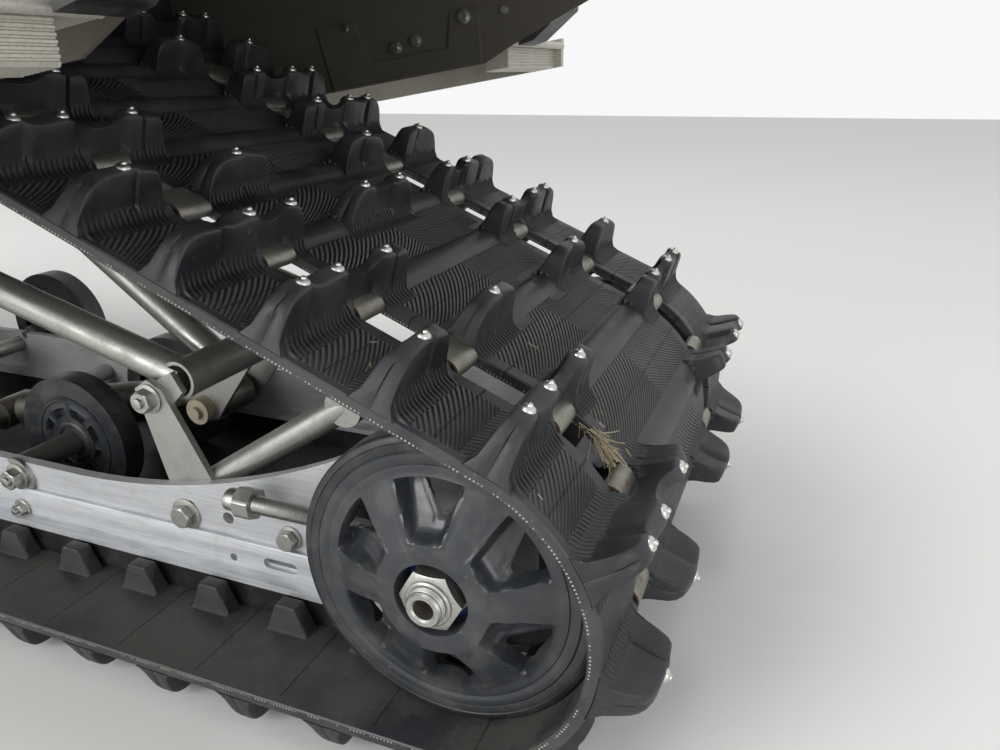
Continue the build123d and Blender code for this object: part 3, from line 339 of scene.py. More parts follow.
def finish_pair(near, name, degrees, body, material, slot, node=None):
    """Finishes a left piece and its mirror image, each in place of its own side's solid."""
    for side, piece in (("left", smooth(near, degrees)), ("right", smooth(mirrored(near), degrees))):
        piece.name = name + "_" + side
        finish(piece, body, material, slot, *([node + "_" + side] if node else []))


# Material helpers
def linear(code):
    """A linear colour from an sRGB hex code."""
    parts = [int(code[i:i + 2], 16) / 255 for i in (1, 3, 5)]
    return tuple(c / 12.92 if c <= 0.04045 else ((c + 0.055) / 1.055) ** 2.4 for c in parts) + (1.0,)


def add_node(tree, kind, inputs=(), **settings):
    """Adds a node with its settings, and links or sets its inputs."""
    made = tree.nodes.new(kind)
    for name, value in settings.items():
        setattr(made, name, value)
    for name, value in dict(inputs).items():
        if isinstance(value, bpy.types.NodeSocket):
            tree.links.new(value, made.inputs[name])
        else:
            made.inputs[name].default_value = value
    return made


def new_material(name, **values):
    """A material with one shader: its tree and its shader node."""
    made = bpy.data.materials.new(name)
    made.use_nodes = True
    tree = made.node_tree
    shader = tree.nodes["Principled BSDF"]
    for socket, value in values.items():
        shader.inputs[socket.replace("_", " ")].default_value = value
    return made, tree, shader


def maths(tree, operation, first, second=0.0, third=0.0):
    """The result of a sum or function of up to three values."""
    made = add_node(tree, "ShaderNodeMath", {0: first, 1: second, 2: third}, operation=operation)
    return made.outputs[0]


def fade(tree, value, low, high, to_low=0.0, to_high=1.0):
    """A smooth step between two values of a pattern."""
    made = add_node(tree, "ShaderNodeMapRange", {
        "Value": value, "From Min": low, "From Max": high, "To Min": to_low, "To Max": to_high,
    }, interpolation_type="SMOOTHSTEP")
    return made.outputs["Result"]


def noise(tree, size_mm, detail=3.0, roughness=0.55, stretch=None):
    """Noise with spots of about this size on Object coordinates."""
    vector = add_node(tree, "ShaderNodeTexCoord").outputs["Object"]
    if stretch:
        vector = add_node(tree, "ShaderNodeMapping", {"Vector": vector, "Scale": stretch}).outputs[0]
    made = add_node(tree, "ShaderNodeTexNoise", {
        "Vector": vector, "Scale": 1000.0 / size_mm, "Detail": detail, "Roughness": roughness})
    return made.outputs["Fac"]


def blend(tree, factor, low, high):
    """A colour between two: each a hex code or another colour's socket."""
    low = linear(low) if isinstance(low, str) else low
    high = linear(high) if isinstance(high, str) else high
    made = add_node(tree, "ShaderNodeMix", {"Factor": factor, "A": low, "B": high}, data_type="RGBA")
    return made.outputs["Result"]


def bump(tree, shader, height, depth_mm):
    """Presses a pattern of heights, 0 to 1, into a shader's surface."""
    made = add_node(tree, "ShaderNodeBump", {"Height": height, "Distance": depth_mm * MM, "Strength": 1.0})
    tree.links.new(made.outputs["Normal"], shader.inputs["Normal"])


# Settings that a user would change
class TrackSettings(bpy.types.PropertyGroup):
    ridge_pitch: FloatProperty(
        name="Front ridge pitch",
        description="Distance between the ridges ahead of each lug, in millimetres",
        default=3.6, min=1.0, max=8.0)
    rubber: FloatVectorProperty(
        name="Rubber", description="Colour of the clean rubber", subtype="COLOR", size=4,
        default=linear("#24272b"), min=0.0, max=1.0)
    grass: IntProperty(
        name="Grass stalks", description="Number of dry stalks caught in a window",
        default=130, min=0, max=400)


class WheelSettings(bpy.types.PropertyGroup):
    diameter: FloatProperty(
        name="Diameter", description="Outside diameter of the rear wheel's tyre",
        default=0.178, unit="LENGTH")
    nylon: FloatVectorProperty(
        name="Nylon", description="Colour of the moulded wheels", subtype="COLOR", size=4,
        default=linear("#292c30"), min=0.0, max=1.0)


class MetalSettings(bpy.types.PropertyGroup):
    alloy: FloatVectorProperty(
        name="Alloy", description="Colour of the bare aluminium rails", subtype="COLOR", size=4,
        default=linear("#c2c4c7"), min=0.0, max=1.0)
    paint: FloatVectorProperty(
        name="Arm paint", description="Colour of the painted steel arms", subtype="COLOR", size=4,
        default=linear("#a5a5a0"), min=0.0, max=1.0)
    coating: FloatVectorProperty(
        name="Tunnel coating", description="Colour of the coated tunnel", subtype="COLOR", size=4,
        default=linear("#5c584f"), min=0.0, max=1.0)


# Moulded ridges, in mm: combs at the lugs' feet, and slanted ridges between them
COMB_PITCH = 3.7
SLANT_PITCH = 5.4
CORD_PITCH = 64.0 / 29
EDGE_BORDER = 5.5
LANE_BORDER = 11.0
# Distances behind a row, in mm: the fingers end, the rod's smooth hump ends, the ridges ahead begin
COMB_END = 19.0
HUMP_END = 11.5
AHEAD_START = 46.0
RIDGE_DEPTH = 1.5
# How far the height over the belt's outer face is under it at the rods' cord line
CORD_LINE = 5.3


def ridge_wave(tree, place_mm, pitch):
    """Rounded ridges with narrower grooves at a pitch."""
    turn = maths(tree, "MULTIPLY", place_mm, 2 * math.pi / pitch)
    wave = maths(tree, "MULTIPLY_ADD", maths(tree, "COSINE", turn), 0.5, 0.5)
    return maths(tree, "POWER", wave, 1.15)


def choose(tree, factor, low, high):
    """One value or the other, by a factor from 0 to 1."""
    made = add_node(tree, "ShaderNodeMix", {"Factor": factor, "A": low, "B": high}, data_type="FLOAT")
    return made.outputs["Result"]


def rubber_material(settings, name, ridged):
    """Vulcanised rubber, moulded: dark and dull, with grey dust and painted highlight on its ridges and
    crests, and painted shade in its grooves.

    The belts are ridged all over their outer face, the lugs only at the foot of their front face.
    """
    made, tree, shader = new_material(name, Roughness=0.6)
    shader.inputs["Specular IOR Level"].default_value = 0.45
    uv = add_node(tree, "ShaderNodeSeparateXYZ", {
        "Vector": add_node(tree, "ShaderNodeUVMap", uv_map="UVMap").outputs[0]})
    y = maths(tree, "ABSOLUTE", uv.outputs[0])
    v = uv.outputs[1]
    rise = add_node(tree, "ShaderNodeAttribute", attribute_name="rise").outputs["Fac"]
    comb_here = add_node(tree, "ShaderNodeAttribute", attribute_name="comb").outputs["Fac"]
    waver = maths(tree, "MULTIPLY", maths(tree, "SUBTRACT", noise(tree, 40.0, 2.0), 0.5), 2.4)
    y_waved = maths(tree, "ADD", y, waver)
    ahead = ridge_wave(tree, maths(tree, "MULTIPLY_ADD", v, 0.72, y_waved), settings.ridge_pitch)
    # Smooth borders along the belts' edges and both window lanes
    edge = fade(tree, y, HALF_W - EDGE_BORDER - 1.0, HALF_W - EDGE_BORDER, 1.0, 0.0)
    lane = maths(tree, "ABSOLUTE", maths(tree, "SUBTRACT", y, LANE_Y))
    lane_half = (LANE_OUT - LANE_IN) / 2
    lane_edge = lane_half + LANE_BORDER
    border = maths(tree, "MULTIPLY", edge, fade(tree, lane, lane_edge - 1.0, lane_edge))
    if ridged:
        # Distance behind the row, 0 to one pitch
        behind = maths(tree, "ADD", v, maths(tree, "MULTIPLY", maths(tree, "LESS_THAN", v, 0.0), PITCH))
        on = maths(tree, "SUBTRACT", behind, 20.0)
        slant = maths(tree, "MULTIPLY", on, maths(tree, "MULTIPLY_ADD", on, 0.02, 1.3))
        slant = ridge_wave(tree, maths(tree, "SUBTRACT", y_waved, slant), SLANT_PITCH)
        comb_side = fade(tree, behind, COMB_END - 0.5, COMB_END + 0.5, 1.0, 0.0)
        near_comb = maths(tree, "MULTIPLY", comb_side, comb_here)
        ahead_side = fade(tree, behind, AHEAD_START - 0.5, AHEAD_START + 0.5)
        near_ahead = maths(tree, "MULTIPLY", ahead_side, comb_here)
        wave = choose(tree, near_ahead, slant, ahead)
        off_row = fade(tree, maths(tree, "ABSOLUTE", v), HUMP_END, HUMP_END + 1.5)
        mask = maths(tree, "MULTIPLY", border, maths(tree, "MAXIMUM", off_row, comb_here))
        # The inner face has no ridges
        mask = maths(tree, "MULTIPLY", mask, fade(tree, rise, -1.6, -0.6))
        # Nor has the belt between the fingers behind a lug
        mask = maths(tree, "MULTIPLY", mask, maths(tree, "SUBTRACT", 1.0, near_comb))
        # A mould line runs across halfway between rows
        to_row = maths(tree, "ABSOLUTE", v)
        seam = maths(tree, "MULTIPLY", fade(tree, to_row, PITCH / 2 - 0.7, PITCH / 2 - 0.2), edge)
    else:
        wave = ahead
        top = maths(tree, "MULTIPLY_ADD", comb_here, 1.5, 5.0)
        top = maths(tree, "ADD", top, maths(tree, "MULTIPLY", waver, 1.5))
        fall = fade(tree, maths(tree, "SUBTRACT", rise, top), -1.5, 1.5, 1.0, 0.0)
        front = maths(tree, "MULTIPLY", maths(tree, "LESS_THAN", v, 0.0), fade(tree, rise, -0.8, -0.2))
        mask = maths(tree, "MULTIPLY", maths(tree, "MULTIPLY", fall, edge), front)
        seam = 0.0
    ridge = maths(tree, "MULTIPLY", wave, mask)
    grain = noise(tree, 0.9, 2.0, 0.5)
    height = maths(tree, "ADD", ridge, maths(tree, "MULTIPLY", grain, 0.05))
    height = maths(tree, "SUBTRACT", height, maths(tree, "MULTIPLY", seam, 0.5))
    bump(tree, shader, height, RIDGE_DEPTH)
    # Dust in broad patches; ridge tops and crests are lighter still, partly dust and partly painted
    # highlight; grooves get painted shade
    patch = noise(tree, 45.0, 5.0, 0.62)
    fine = noise(tree, 3.0, 4.0, 0.6)
    crest = fade(tree, rise, 24.0, 31.0)
    dust = maths(tree, "MULTIPLY", fade(tree, patch, 0.36, 0.66), 0.22)
    # Painted highlight, mixed with dust: the lugs' crests are lighter the higher they stand
    dust = maths(tree, "ADD", dust, maths(tree, "MULTIPLY", crest, maths(tree, "MULTIPLY", patch, 0.9)))
    # Painted highlight, mixed with dust: the ridge tops are lighter than the grooves between them
    dust = maths(tree, "ADD", dust, maths(tree, "MULTIPLY", ridge, fade(tree, patch, 0.25, 0.6, 0.16, 0.42)))
    # The lugs' copy is the belt rubber darkened all over, with darker dust too: painted shade
    rubber_base_shaded_on_lugs = tuple(settings.rubber) if ridged else tuple(0.6 * c for c in settings.rubber[:3]) + (1.0,)
    dark = blend(tree, dust, rubber_base_shaded_on_lugs, "#65635f" if ridged else "#4b4c4d")
    # Painted shade: the grooves between ridges, and the dip of the mould line, are darkened to near black
    groove = maths(tree, "MULTIPLY", maths(tree, "SUBTRACT", mask, ridge), 0.5)
    groove = maths(tree, "MAXIMUM", groove, maths(tree, "MULTIPLY", seam, 0.8))
    dark = blend(tree, groove, dark, "#111214")
    specks = maths(tree, "MULTIPLY", fade(tree, fine, 0.66, 0.73), 0.22)
    colour = blend(tree, specks, dark, "#a39c8c")
    if ridged:
        # Packed dirt on the inner face
        packed = maths(tree, "MULTIPLY", fade(tree, rise, -6.9, -6.5, 1.0, 0.0), fade(tree, patch, 0.3, 0.6))
        colour = blend(tree, maths(tree, "MULTIPLY", packed, fade(tree, fine, 0.3, 0.6)), colour, "#403e3a")
        # White cord ends show as dots low on the cut edges
        cut_edge = 0.0
        for place_y in (HALF_W, LANE_OUT, LANE_IN):
            off = maths(tree, "ABSOLUTE", maths(tree, "SUBTRACT", y, place_y))
            cut_edge = maths(tree, "MAXIMUM", cut_edge, maths(tree, "LESS_THAN", off, 0.25))
        low = fade(tree, maths(tree, "ABSOLUTE", maths(tree, "ADD", rise, CORD_LINE)), 0.35, 0.6, 1.0, 0.0)
        dots = maths(tree, "COSINE", maths(tree, "MULTIPLY", v, 2 * math.pi / CORD_PITCH))
        gaps = fade(tree, noise(tree, 9.0, 4.0), 0.44, 0.52)
        dots = maths(tree, "MULTIPLY", fade(tree, dots, 0.1, 0.6), gaps)
        cords = maths(tree, "MULTIPLY", maths(tree, "MULTIPLY", dots, low), cut_edge)
        colour = blend(tree, maths(tree, "MULTIPLY", cords, 0.8), colour, "#b0a997")
    tree.links.new(colour, shader.inputs["Base Color"])
    tree.links.new(fade(tree, patch, 0.35, 0.7, 0.42, 0.62), shader.inputs["Roughness"])
    return made


def metal_material(name, colour, roughness, dirt="#4d4a43", rust=0.0, brush=None, dirt_share=0.35,
                   metallic=1.0, spot_mm=30.0, pits=0.06):
    """A metal with a little dirt in patches, fine scratches and, where asked, rust."""
    made, tree, shader = new_material(name, Metallic=metallic, Roughness=roughness)
    patch = noise(tree, spot_mm, 5.0, 0.6)
    fine = noise(tree, 1.6, 3.0, 0.6, stretch=brush)
    dust = maths(tree, "MULTIPLY", fade(tree, patch, 0.45, 0.72), dirt_share)
    shade = blend(tree, dust, colour, dirt)
    shade = blend(tree, maths(tree, "MULTIPLY", fade(tree, fine, 0.45, 0.62), 0.14), shade, "#2e2d2b")
    if rust:
        spots = noise(tree, 7.0, 6.0, 0.7)
        shade = blend(tree, fade(tree, spots, 0.70 - rust * 0.2, 0.76 - rust * 0.2), shade, "#6b4226")
        dull = fade(tree, spots, 0.70 - rust * 0.2, 0.76 - rust * 0.2, 1.0, 0.0)
        tree.links.new(maths(tree, "MULTIPLY", dull, metallic), shader.inputs["Metallic"])
    tree.links.new(shade, shader.inputs["Base Color"])
    spread = fade(tree, patch, 0.3, 0.75, roughness - 0.06, roughness + 0.16)
    tree.links.new(maths(tree, "MULTIPLY_ADD", fine, 0.10, spread), shader.inputs["Roughness"])
    bump(tree, shader, fine, pits)
    return made


def plastic_material(name, colour, roughness, dust="#55534e", dust_share=0.4, grain_mm=0.8, spot_mm=22.0):
    """A moulded plastic or rubber, with dust in patches and a fine moulded grain."""
    made, tree, shader = new_material(name, Roughness=roughness)
    shader.inputs["Specular IOR Level"].default_value = 0.5
    patch = noise(tree, spot_mm, 5.0, 0.65)
    grain = noise(tree, grain_mm, 2.0, 0.5)
    specks = fade(tree, noise(tree, 2.4, 4.0, 0.65), 0.64, 0.74)
    dirt = maths(tree, "MULTIPLY", fade(tree, patch, 0.42, 0.72), dust_share)
    shade = blend(tree, dirt, colour, dust)
    shade = blend(tree, maths(tree, "MULTIPLY", specks, 0.22), shade, "#9a968c")
    tree.links.new(shade, shader.inputs["Base Color"])
    tree.links.new(fade(tree, patch, 0.3, 0.75, roughness - 0.06, roughness + 0.18),
                   shader.inputs["Roughness"])
    bump(tree, shader, grain, 0.05)
    return made


# Filled by the materials operator, which runs before the pieces
MATERIALS = {}


class FINISH_OT_materials(bpy.types.Operator):
    """Make the materials and give the solids that stay visible theirs"""
    bl_idname = "track_module.materials"
    bl_label = "Materials"

    def execute(self, context):
        track = context.scene.track_settings
        wheel = context.scene.wheel_settings
        metal = context.scene.metal_settings
        made = MATERIALS
        # Dull black belts with fine ridges, and lugs darkened all over with painted shade
        made["belt"] = rubber_material(track, "vulcanised_rubber_ridged", True)
        made["lug"] = rubber_material(track, "vulcanised_rubber_lugs", False)
        # Zinc plate gone dull and greenish, with brown rust at the cut edges
        made["clip"] = metal_material("zinc_plated_steel_clip", "#97968d", 0.44, "#5f5b4d", rust=0.4)
        # Ground carbide tips: small bright points
        made["stud"] = metal_material("tungsten_carbide_stud", "#cfcfcc", 0.3, "#8a8880", dirt_share=0.2)
        # Moulded and slightly shiny, with grey dust in the pockets
        made["nylon"] = plastic_material("glass_filled_nylon", tuple(wheel.nylon), 0.31)
        # Moulded on the wheel: blacker and duller than its nylon
        made["tyre"] = plastic_material("bonded_rubber_tyre", "#1f2124", 0.42)
        # Extruded bars: drawn lines along x
        made["rail"] = metal_material("extruded_aluminium", tuple(metal.alloy), 0.5, "#a09d96",
                                      brush=(0.03, 1.0, 1.0), dirt_share=0.3, metallic=0.7)
        # Worn smooth by the clips: black with little dust
        made["slide"] = plastic_material("high_density_polyethylene", "#0b0c0d", 0.42, dust_share=0.15)
        # Plated nuts, bolts and shafts: warm grey, with a few rust spots
        made["zinc"] = metal_material("zinc_plated_steel", "#adada8", 0.36, "#6f6c63", rust=0.15)
        # Straw gone pale and dry
        made["straw"] = plastic_material("dry_grass", "#a3967c", 0.8, dust="#6f6450")
        # Old rust, brown and dull, in the axle's bore
        made["rusty"] = metal_material("rusty_steel", "#5a4436", 0.75, "#3f3129", metallic=0.0, pits=0.3)
        # Thin grey paint on rolled steel: half metal, half paint to the eye
        made["dark_steel"] = metal_material("painted_steel_dark", "#5d5c58", 0.42, "#45433e", rust=0.1,
                                            metallic=0.5)
        # Sprayed silver paint: a soft sheen with grey dirt and rust specks
        made["paint"] = metal_material("painted_steel_silver", tuple(metal.paint), 0.33, "#6f6c63",
                                       rust=0.12, metallic=0.75, dirt_share=0.4)
        # Drawn tube of the shocks: grey brown and smooth
        made["shock"] = metal_material("drawn_aluminium", "#7d7a74", 0.36, "#57534b")
        # Rolled sheet with a thin coat: brown grey, barely metallic, with broad faint stains
        made["tunnel"] = metal_material("coated_aluminium_sheet", tuple(metal.coating), 0.42, "#37342e",
                                        metallic=0.35, spot_mm=60.0, dirt_share=0.22)
        # Rough cast and gone dull white
        made["cast"] = metal_material("cast_aluminium", "#bdbab0", 0.5, "#9a968b", metallic=0.55,
                                      pits=0.12, spot_mm=60.0)
        # Bent tube of the bumper: satin silver
        made["tube"] = metal_material("bent_aluminium_tube", "#b3b3b0", 0.38, "#8b8983")
        # Moulded caps: black and even
        made["cap"] = plastic_material("polypropylene_cap", "#151618", 0.42)
        # Rubber seals of the bearings: the one blue on the module
        made["blue"] = plastic_material("nitrile_seal_blue", "#1b3a8c", 0.35, dust="#31323a")
        # Plain moulded bushing: cream gone brown with dirt
        made["cream"] = plastic_material("acetal_bushing", "#9c9482", 0.5, dust="#6d675b")
        # Powder coated wire: black with a low gloss
        made["spring"] = metal_material("coated_spring_steel", "#1c1d1e", 0.35, "#33312d",
                                        metallic=0.0)
        by_slot = {
            "track_rubber": "lug", "clip_steel": "clip", "rail_alloy": "rail", "slide_plastic": "slide",
            "wheel_nylon": "nylon", "tyre_rubber": "tyre", "seal_blue": "blue", "zinc_steel": "zinc",
            "dark_steel": "dark_steel", "silver_paint": "paint", "shock_grey": "shock",
            "bushing_cream": "cream", "tunnel_paint": "tunnel", "board_alloy": "cast",
            "bumper_alloy": "tube", "cap_plastic": "cap", "spring_steel": "spring",
        }
        for entry in frame["record"]["subparts"]:
            solid = frame["nodes"][entry["node"]]
            solid.data.materials.clear()
            solid.data.materials.append(made[by_slot[entry["material_slot"]]])
        return {"FINISHED"}


# Track
STIFF_OVER = 6.0


def lay_on_belt(piece, s, far_side=False, stiff=True):
    """Bends a flat template (x along the belt, y across, z off its inner face) onto the belt at s.

    A stiff piece bends only near the belt, and is straight from STIFF_OVER mm above it.
    """
    mesh = piece.data
    count = len(mesh.vertices)
    flat = np.empty(count * 3)
    mesh.vertices.foreach_get("co", flat)
    flat = flat.reshape(-1, 3) / MM
    v, y, h = flat[:, 0], flat[:, 1], flat[:, 2]
    out = h - ROD_LINE
    x0, z0, angle = belt_frame(s)
    nx, nz = math.cos(angle), math.sin(angle)
    steady = np.stack([x0 + out * nx - v * nz, z0 + out * nz + v * nx], 1)
    places, which = np.unique(np.round(v, 3), return_inverse=True)
    frames = np.array([belt_frame(s + value) for value in places])[which]
    bent = np.stack([frames[:, 0] + out * np.cos(frames[:, 2]),
                     frames[:, 1] + out * np.sin(frames[:, 2])], 1)
    share = np.clip((h - BELT_T) / STIFF_OVER, 0.0, 1.0) if stiff else np.zeros(count)
    share = (share * share * (3 - 2 * share))[:, None]
    where = bent * (1 - share) + steady * share
    turned_to = np.empty((count, 3))
    turned_to[:, 0] = AXLE.x + where[:, 0] * MM
    turned_to[:, 1] = y * MM * (-1 if far_side else 1)
    turned_to[:, 2] = AXLE.z + where[:, 1] * MM
    mesh.vertices.foreach_set("co", turned_to.ravel())
    if not far_side:
        # A loop runs rearwards over the top, so the near side's template is turned inside out
        mesh.flip_normals()
    return piece


def add_values(piece, comb=lambda v, y, h: 0.0):
    """Stores each vertex's height off the belt's outer face, in mm, and its share of comb ridges."""
    mesh = piece.data
    places = [vertex.co / MM for vertex in mesh.vertices]
    rise = mesh.attributes.new("rise", "FLOAT", "POINT")
    rise.data.foreach_set("value", [h - BELT_T for v, y, h in places])
    share = mesh.attributes.new("comb", "FLOAT", "POINT")
    share.data.foreach_set("value", [comb(v, y, h) for v, y, h in places])
    return piece


def flat_uv(points):
    """UV in mm: across the belt, and along it."""
    return lambda row, column: (points[row][column][1], points[row][column][0])


def grid_of(name, points):
    """A template from a table of rows of (v, y, h) points in mm."""
    return shaped_grid(name, len(points), len(points[0]),
                       lambda row, column: Vector(points[row][column]) * MM, flat_uv(points))


# Belt sections: rings along one pitch, and how far each is up the rod's hump
HALF_RINGS = [5.0, 8.0, 10.5, 13.0, 16.0, 20.0, 26.0, PITCH / 2]
RINGS = [-v for v in reversed(HALF_RINGS)] + [0.0] + HALF_RINGS
HUMP = 4.5
# The hump is flat this far from the rod, and ends this far from it
HUMP_SPAN = (4.0, 12.5)
# It sinks towards the belt's cut edge, from and to a distance off it
HUMP_RUN_OUT = (9.0, 2.0)
EDGE_ROUND = 0.9
EDGE_MIDDLE = 3.6


def hump(v):
    """How far the belt's outer face stands up over the rod, at a place along the belt."""
    return HUMP * (1 - ease(*HUMP_SPAN, abs(v)))


def belt_template(name, edges, kind):
    """One pitch of a belt over a list of places across it: a closed section with rounded corners."""
    y_low, y_high = edges[0], edges[-1]
    inner = [(y, 0.0) for y in edges[1:-1]]
    outer = [(y, BELT_T) for y, h in reversed(inner)]
    outline = inner + [(y_high, EDGE_ROUND), (y_high, EDGE_MIDDLE), (y_high, BELT_T - EDGE_ROUND)] + outer
    outline += [(y_low, BELT_T - EDGE_ROUND), (y_low, EDGE_MIDDLE), (y_low, EDGE_ROUND)]
    outline.append(outline[0])
    run_out, end = HUMP_RUN_OUT
    points = []
    for v in RINGS:
        row = []
        for y, h in outline:
            up = hump(v) * (1 - ease(HALF_W - run_out, HALF_W - end, abs(y)))
            row.append((v, y, h + (up if h > BELT_T / 2 else 0.0)))
        points.append(row)
    low, high = COMB_SPANS[kind]
    return add_values(grid_of(name, points), lambda v, y, h: float(abs(y) > LANE_Y or low < abs(y) < high))


# Where the middle belt has lugs on each kind of row, from and to a distance off its middle
COMB_SPANS = {"cross": (77.0, 110.0), "side": (24.0, 110.0), "centre": (-1.0, 46.0)}
SIDE_EDGES = [137.0, 137.8, 146.0, 147.5, 149.0, 158.0, 168.0, 178.0, 188.0, 196.5, 197.5, 207.2, 208.0]
HALF_EDGES = [10.0, 23.0, 25.0, 45.0, 47.0, 60.0, 76.0, 78.0, 90.0, 97.5, 98.5, 108.2, 109.0]
MIDDLE_EDGES = [-y for y in reversed(HALF_EDGES)] + [0.0] + HALF_EDGES


# Lugs: each has a table of crest heights along y, and of how deep its panels are on both faces
CROSS_CREST = [
    (77.0, 7.0), (77.8, 12.0), (78.6, 19.0), (79.6, 26.0), (81.0, 31.0), (83.0, 33.2), (88.0, 33.8),
    (92.5, 33.4), (95.5, 33.2), (98.0, 34.4), (102.0, 35.6), (106.0, 35.3), (110.0, 33.8),
    (114.0, 31.0), (118.0, 28.6), (123.0, 27.6), (132.0, 27.8), (139.0, 28.6), (144.0, 31.0),
    (148.0, 34.0), (153.0, 35.6), (158.0, 35.2), (164.0, 34.2), (170.0, 33.6), (176.0, 33.8),
    (180.0, 34.8), (184.0, 35.8), (189.0, 35.4), (193.0, 34.2), (196.5, 32.4), (199.5, 29.6),
    (201.8, 26.0), (203.6, 21.8), (205.0, 17.6), (206.2, 13.6), (207.2, 10.0), (208.0, 7.0),
]
CROSS_PANEL = [
    (77.0, 0.0), (83.0, 0.2), (94.6, 0.2), (95.3, 3.0), (97.0, 3.0), (97.8, 0.0), (104.0, 0.0),
    (115.0, 0.6), (117.0, 4.6), (146.5, 4.6), (149.0, 0.6), (156.0, 0.0), (166.0, 0.2), (175.5, 0.8),
    (178.5, 2.2), (181.2, 3.8), (182.4, 4.2), (183.0, 0.8), (187.0, 0.0), (208.0, 0.0),
]
CENTRE_NEAR_CREST = [
    (96.0, 7.0), (97.0, 13.0), (98.0, 20.0), (99.2, 26.5), (101.0, 31.0), (104.0, 34.4), (108.0, 35.6),
    (112.0, 35.3), (116.0, 34.0), (120.0, 31.4), (124.0, 29.2), (128.0, 28.6), (133.0, 28.8),
    (138.0, 30.6), (142.0, 34.0), (146.0, 35.6), (151.0, 35.4), (157.0, 34.6), (163.0, 33.6),
    (168.0, 32.8), (172.0, 32.8), (175.0, 33.8), (180.0, 34.2), (188.0, 34.2), (193.0, 33.6),
    (196.5, 32.2), (199.5, 29.6), (201.8, 26.0), (203.6, 21.8), (205.0, 17.6), (206.2, 13.6),
    (207.2, 10.0), (208.0, 7.0),
]
CENTRE_NEAR_PANEL = [
    (96.0, 0.0), (104.0, 0.2), (121.0, 0.4), (123.5, 4.6), (140.5, 4.6), (142.5, 0.4), (150.0, 0.0),
    (164.0, 0.4), (167.0, 3.2), (172.0, 3.4), (173.4, 0.5), (180.0, 0.0), (208.0, 0.0),
]
SIDE_CREST = [
    (144.5, 7.0), (145.5, 12.0), (146.5, 19.0), (147.8, 26.5), (149.5, 31.5), (152.0, 33.8),
    (157.0, 34.4), (162.0, 34.9), (167.0, 35.6), (172.0, 35.2), (178.0, 34.6), (184.0, 34.2),
    (189.0, 33.4), (193.5, 31.8), (197.0, 29.4), (200.0, 26.0), (202.4, 22.0), (204.4, 17.8),
    (206.0, 13.6), (207.2, 10.0), (208.0, 7.0),
]
SIDE_PANEL = [
    (144.5, 0.0), (151.0, 0.4), (160.0, 1.0), (163.2, 1.6), (164.2, 3.6), (166.0, 3.6), (167.0, 2.4),
    (180.0, 2.0), (196.0, 0.0), (208.0, 0.0),
]
INNER_CREST = [
    (47.5, 7.0), (48.5, 12.0), (49.6, 19.0), (51.0, 26.0), (53.0, 31.2), (56.0, 33.6), (62.0, 34.4),
    (70.0, 34.8), (76.0, 35.4), (81.0, 35.6), (86.0, 35.2), (92.0, 34.2), (97.0, 32.8), (101.0, 30.4),
    (103.8, 26.6), (105.6, 21.6), (107.0, 16.0), (108.2, 11.0), (109.0, 7.0),
]
INNER_PANEL = [
    (47.5, 0.0), (56.0, 0.6), (70.0, 2.4), (73.0, 3.4), (75.5, 3.4), (77.0, 0.5), (82.0, 0.0),
    (96.0, 0.4), (109.0, 0.0),
]
CENTRE_CREST = [
    (-45.0, 7.0), (-44.0, 9.8), (-42.5, 14.5), (-40.5, 20.5), (-38.5, 26.0), (-36.0, 30.4),
    (-33.0, 33.2), (-29.0, 34.8), (-24.0, 35.6), (-19.0, 35.2), (-15.0, 33.6), (-9.0, 32.6),
    (0.0, 32.4),
]
CENTRE_CREST = CENTRE_CREST + [(-y, h) for y, h in reversed(CENTRE_CREST[:-1])]
CENTRE_PANEL = [
    (-45.0, 0.0), (-31.0, 0.2), (-15.5, 0.2), (-14.0, 3.8), (14.0, 3.8), (15.5, 0.2), (31.0, 0.2),
    (45.0, 0.0),
]

# Half width of a lug's body against its height off the belt's inner face
LUG_BODY = [
    (6.4, 13.6), (7.4, 12.2), (9.0, 10.6), (11.5, 9.3), (15.0, 8.4), (20.0, 7.6), (26.0, 6.9), (32.0, 6.2),
    (36.0, 5.8),
]
SIDE_STEPS = [0.0, 0.05, 0.13, 0.22, 0.33, 0.45, 0.60, 0.78, 1.0]
# Height of most crests, where the studs stand
CREST = 35.4
# Half width of a lug over a window lane, and the least half width beside a panel
LANE_WALL = 3.6
THIN_WALL = 2.6
# Heights over the belt between which a panel's depth grows, and between which it loses PANEL_LOSS of it
PANEL_START = (2.5, 6.5)
PANEL_END = (22.0, 28.0)
PANEL_LOSS = 0.3
# A panel is shallower on the lug's front face
FRONT_SHARE = 0.75
# The crest's rounding: how far in from the side, and how far under the top
CREST_ROUND = [(0.0, 1.9), (0.5, 0.85), (1.6, 0.25)]
CREASE_DEPTH = 1.6
CREASE_HALF = 0.5


def lug_section(y, top, depth, groove):
    """Half section of a lug at one place: reach, reach with its panel, and height, from foot to middle."""
    over_lane = LANE_IN < abs(y) < LANE_OUT
    low = CLIP_TOP + 0.1 if over_lane else BELT_T
    shoulder = max(top - CREST_ROUND[0][1], low)
    foot_h, foot_reach = LUG_BODY[0]
    side = [(LANE_WALL, low) if over_lane else (foot_reach, foot_h)]
    for share in SIDE_STEPS:
        h = low + (shoulder - low) * share
        side.append((along(LUG_BODY, h), h))
    reach = along(LUG_BODY, shoulder)
    side += [(reach - inset, max(top - under, low)) for inset, under in CREST_ROUND[1:]]
    side += [(reach * 0.5, max(top, low)), (CREASE_HALF, max(top, low)), (0.0, max(top, low) - groove)]
    section = []
    for reach, h in side:
        over_belt = h - BELT_T
        pressed = depth * ease(*PANEL_START, over_belt) * (1 - PANEL_LOSS * ease(*PANEL_END, over_belt))
        if over_lane:
            reach = min(reach, LANE_WALL)
            pressed = 0.0
        floor = min(reach, THIN_WALL)
        section.append((max(reach - pressed, floor), max(reach - FRONT_SHARE * pressed, floor), h))
    return section


